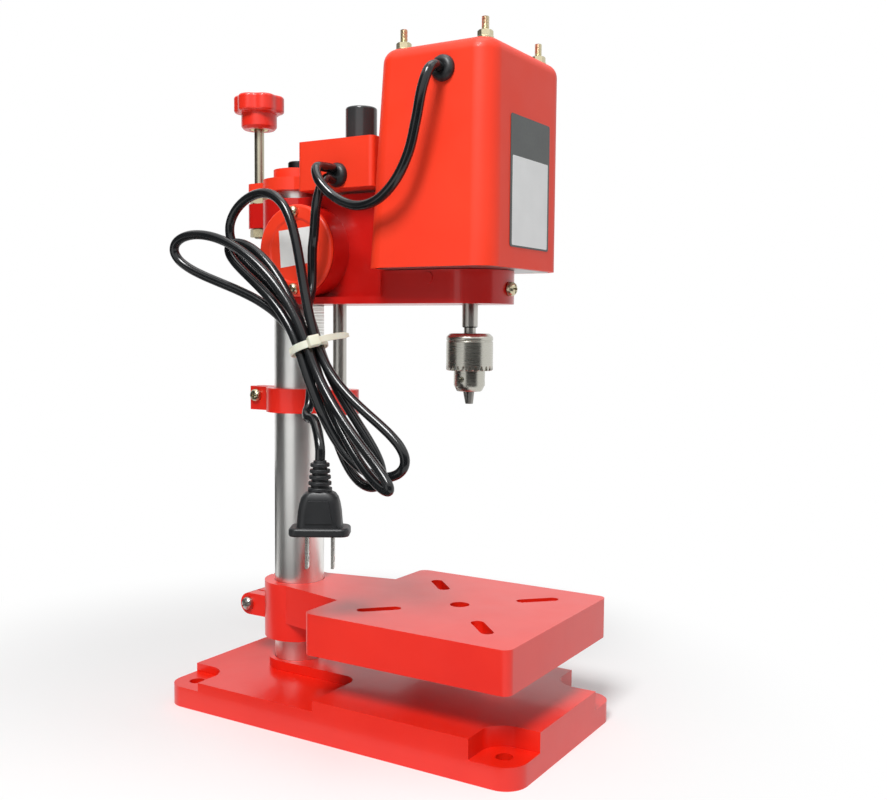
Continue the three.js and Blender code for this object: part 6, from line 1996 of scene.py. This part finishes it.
def floor_finish():
    finish = new_finish("studio_floor", 0.9, Base_Color=(*[FLOOR_GREY] * 3, 1), Specular_IOR_Level=0.1)
    shader = finish.node_tree.nodes["Principled BSDF"]
    place = node(finish, "ShaderNodeTexCoord")
    far = node(finish, "ShaderNodeVectorMath", operation="LENGTH")
    fade = node(finish, "ShaderNodeMapRange", interpolation_type="SMOOTHSTEP")
    fade.inputs["From Min"].default_value = FADE_START
    fade.inputs["From Max"].default_value = FADE_END
    rays = node(finish, "ShaderNodeLightPath")
    seen = maths(finish.node_tree, "MAXIMUM", rays.outputs["Is Camera Ray"], rays.outputs["Is Glossy Ray"])
    white = node(finish, "ShaderNodeEmission", Strength=1.0)
    blend = node(finish, "ShaderNodeMixShader")
    link(finish, place.outputs["Object"], far.inputs[0])
    link(finish, far.outputs["Value"], fade.inputs["Value"])
    link(finish, maths(finish.node_tree, "MULTIPLY", fade.outputs["Result"], seen), blend.inputs["Fac"])
    link(finish, shader.outputs["BSDF"], blend.inputs[1])
    link(finish, white.outputs["Emission"], blend.inputs[2])
    link(finish, blend.outputs["Shader"], finish.node_tree.nodes["Material Output"].inputs["Surface"])
    return finish


set_world()
floor_rim = [(*place, 0) for place in disc(FLOOR_RADIUS, steps=FLOOR_SIDES)]
floor = as_object("floor", floor_rim, [tuple(range(FLOOR_SIDES))])
floor.data.materials.append(floor_finish())

# %% Lamps and cards
MIDDLE = (0.0, -0.07, 0.18)
LAMPS = [
    ("key_lamp", (-1.03, -0.36, 1.34), 0.5, 24),
    ("front_lamp", (0.15, -0.80, 1.05), 0.5, 0.8),
    ("top_lamp", (0.05, -0.15, 1.75), 0.9, 7),
]
CARDS = [
    ("left_card", (-0.34, 0.36, 0.49), (0.0, -0.07, 0.49), 1.05, 0.50),
    ("column_card", (-0.272, 0.535, 0.115), (0.0, 0.0, 0.115), 0.78, 0.25),
    ("camera_card", (-0.311, -0.391, 0.145), (0.0, 0.0, 0.145), 0.74, 0.31),
    ("foot_card", (-0.27, 0.10, 0.002), (-0.27, 0.10, 1.0), 0.38, 0.60),
    ("rear_card", (0.20, 0.24, 0.05), (0.0, -0.07, 0.05), 0.50, 0.10),
]
CARD_BLACK = (0.01, 0.01, 0.01, 1)


def aimed(made, place, target):
    made.location = place
    made.rotation_euler = (Vector(target) - Vector(place)).to_track_quat("-Z", "Y").to_euler()


def lamp(name, place, side, watts):
    """A square soft lamp that looks at the machine's middle."""
    data = bpy.data.lights.new(name, "AREA")
    data.shape = "RECTANGLE"
    data.size = data.size_y = side
    data.energy = watts
    made = bpy.data.objects.new(name, data)
    aimed(made, place, MIDDLE)
    bpy.context.scene.collection.objects.link(made)


def card(name, place, target, width, height):
    """A dark card that only mirror reflections see."""
    half, rise = width / 2, height / 2
    corners = [(-half, -rise, 0), (half, -rise, 0), (half, rise, 0), (-half, rise, 0)]
    made = as_object(name, corners, [(0, 1, 2, 3)])
    aimed(made, place, target)
    made.data.materials.append(new_finish(name + "_black", 1.0, Base_Color=CARD_BLACK))
    for kind in ("camera", "diffuse", "shadow", "transmission"):
        setattr(made, "visible_" + kind, False)


for values in LAMPS:
    lamp(*values)
for values in CARDS:
    card(*values)
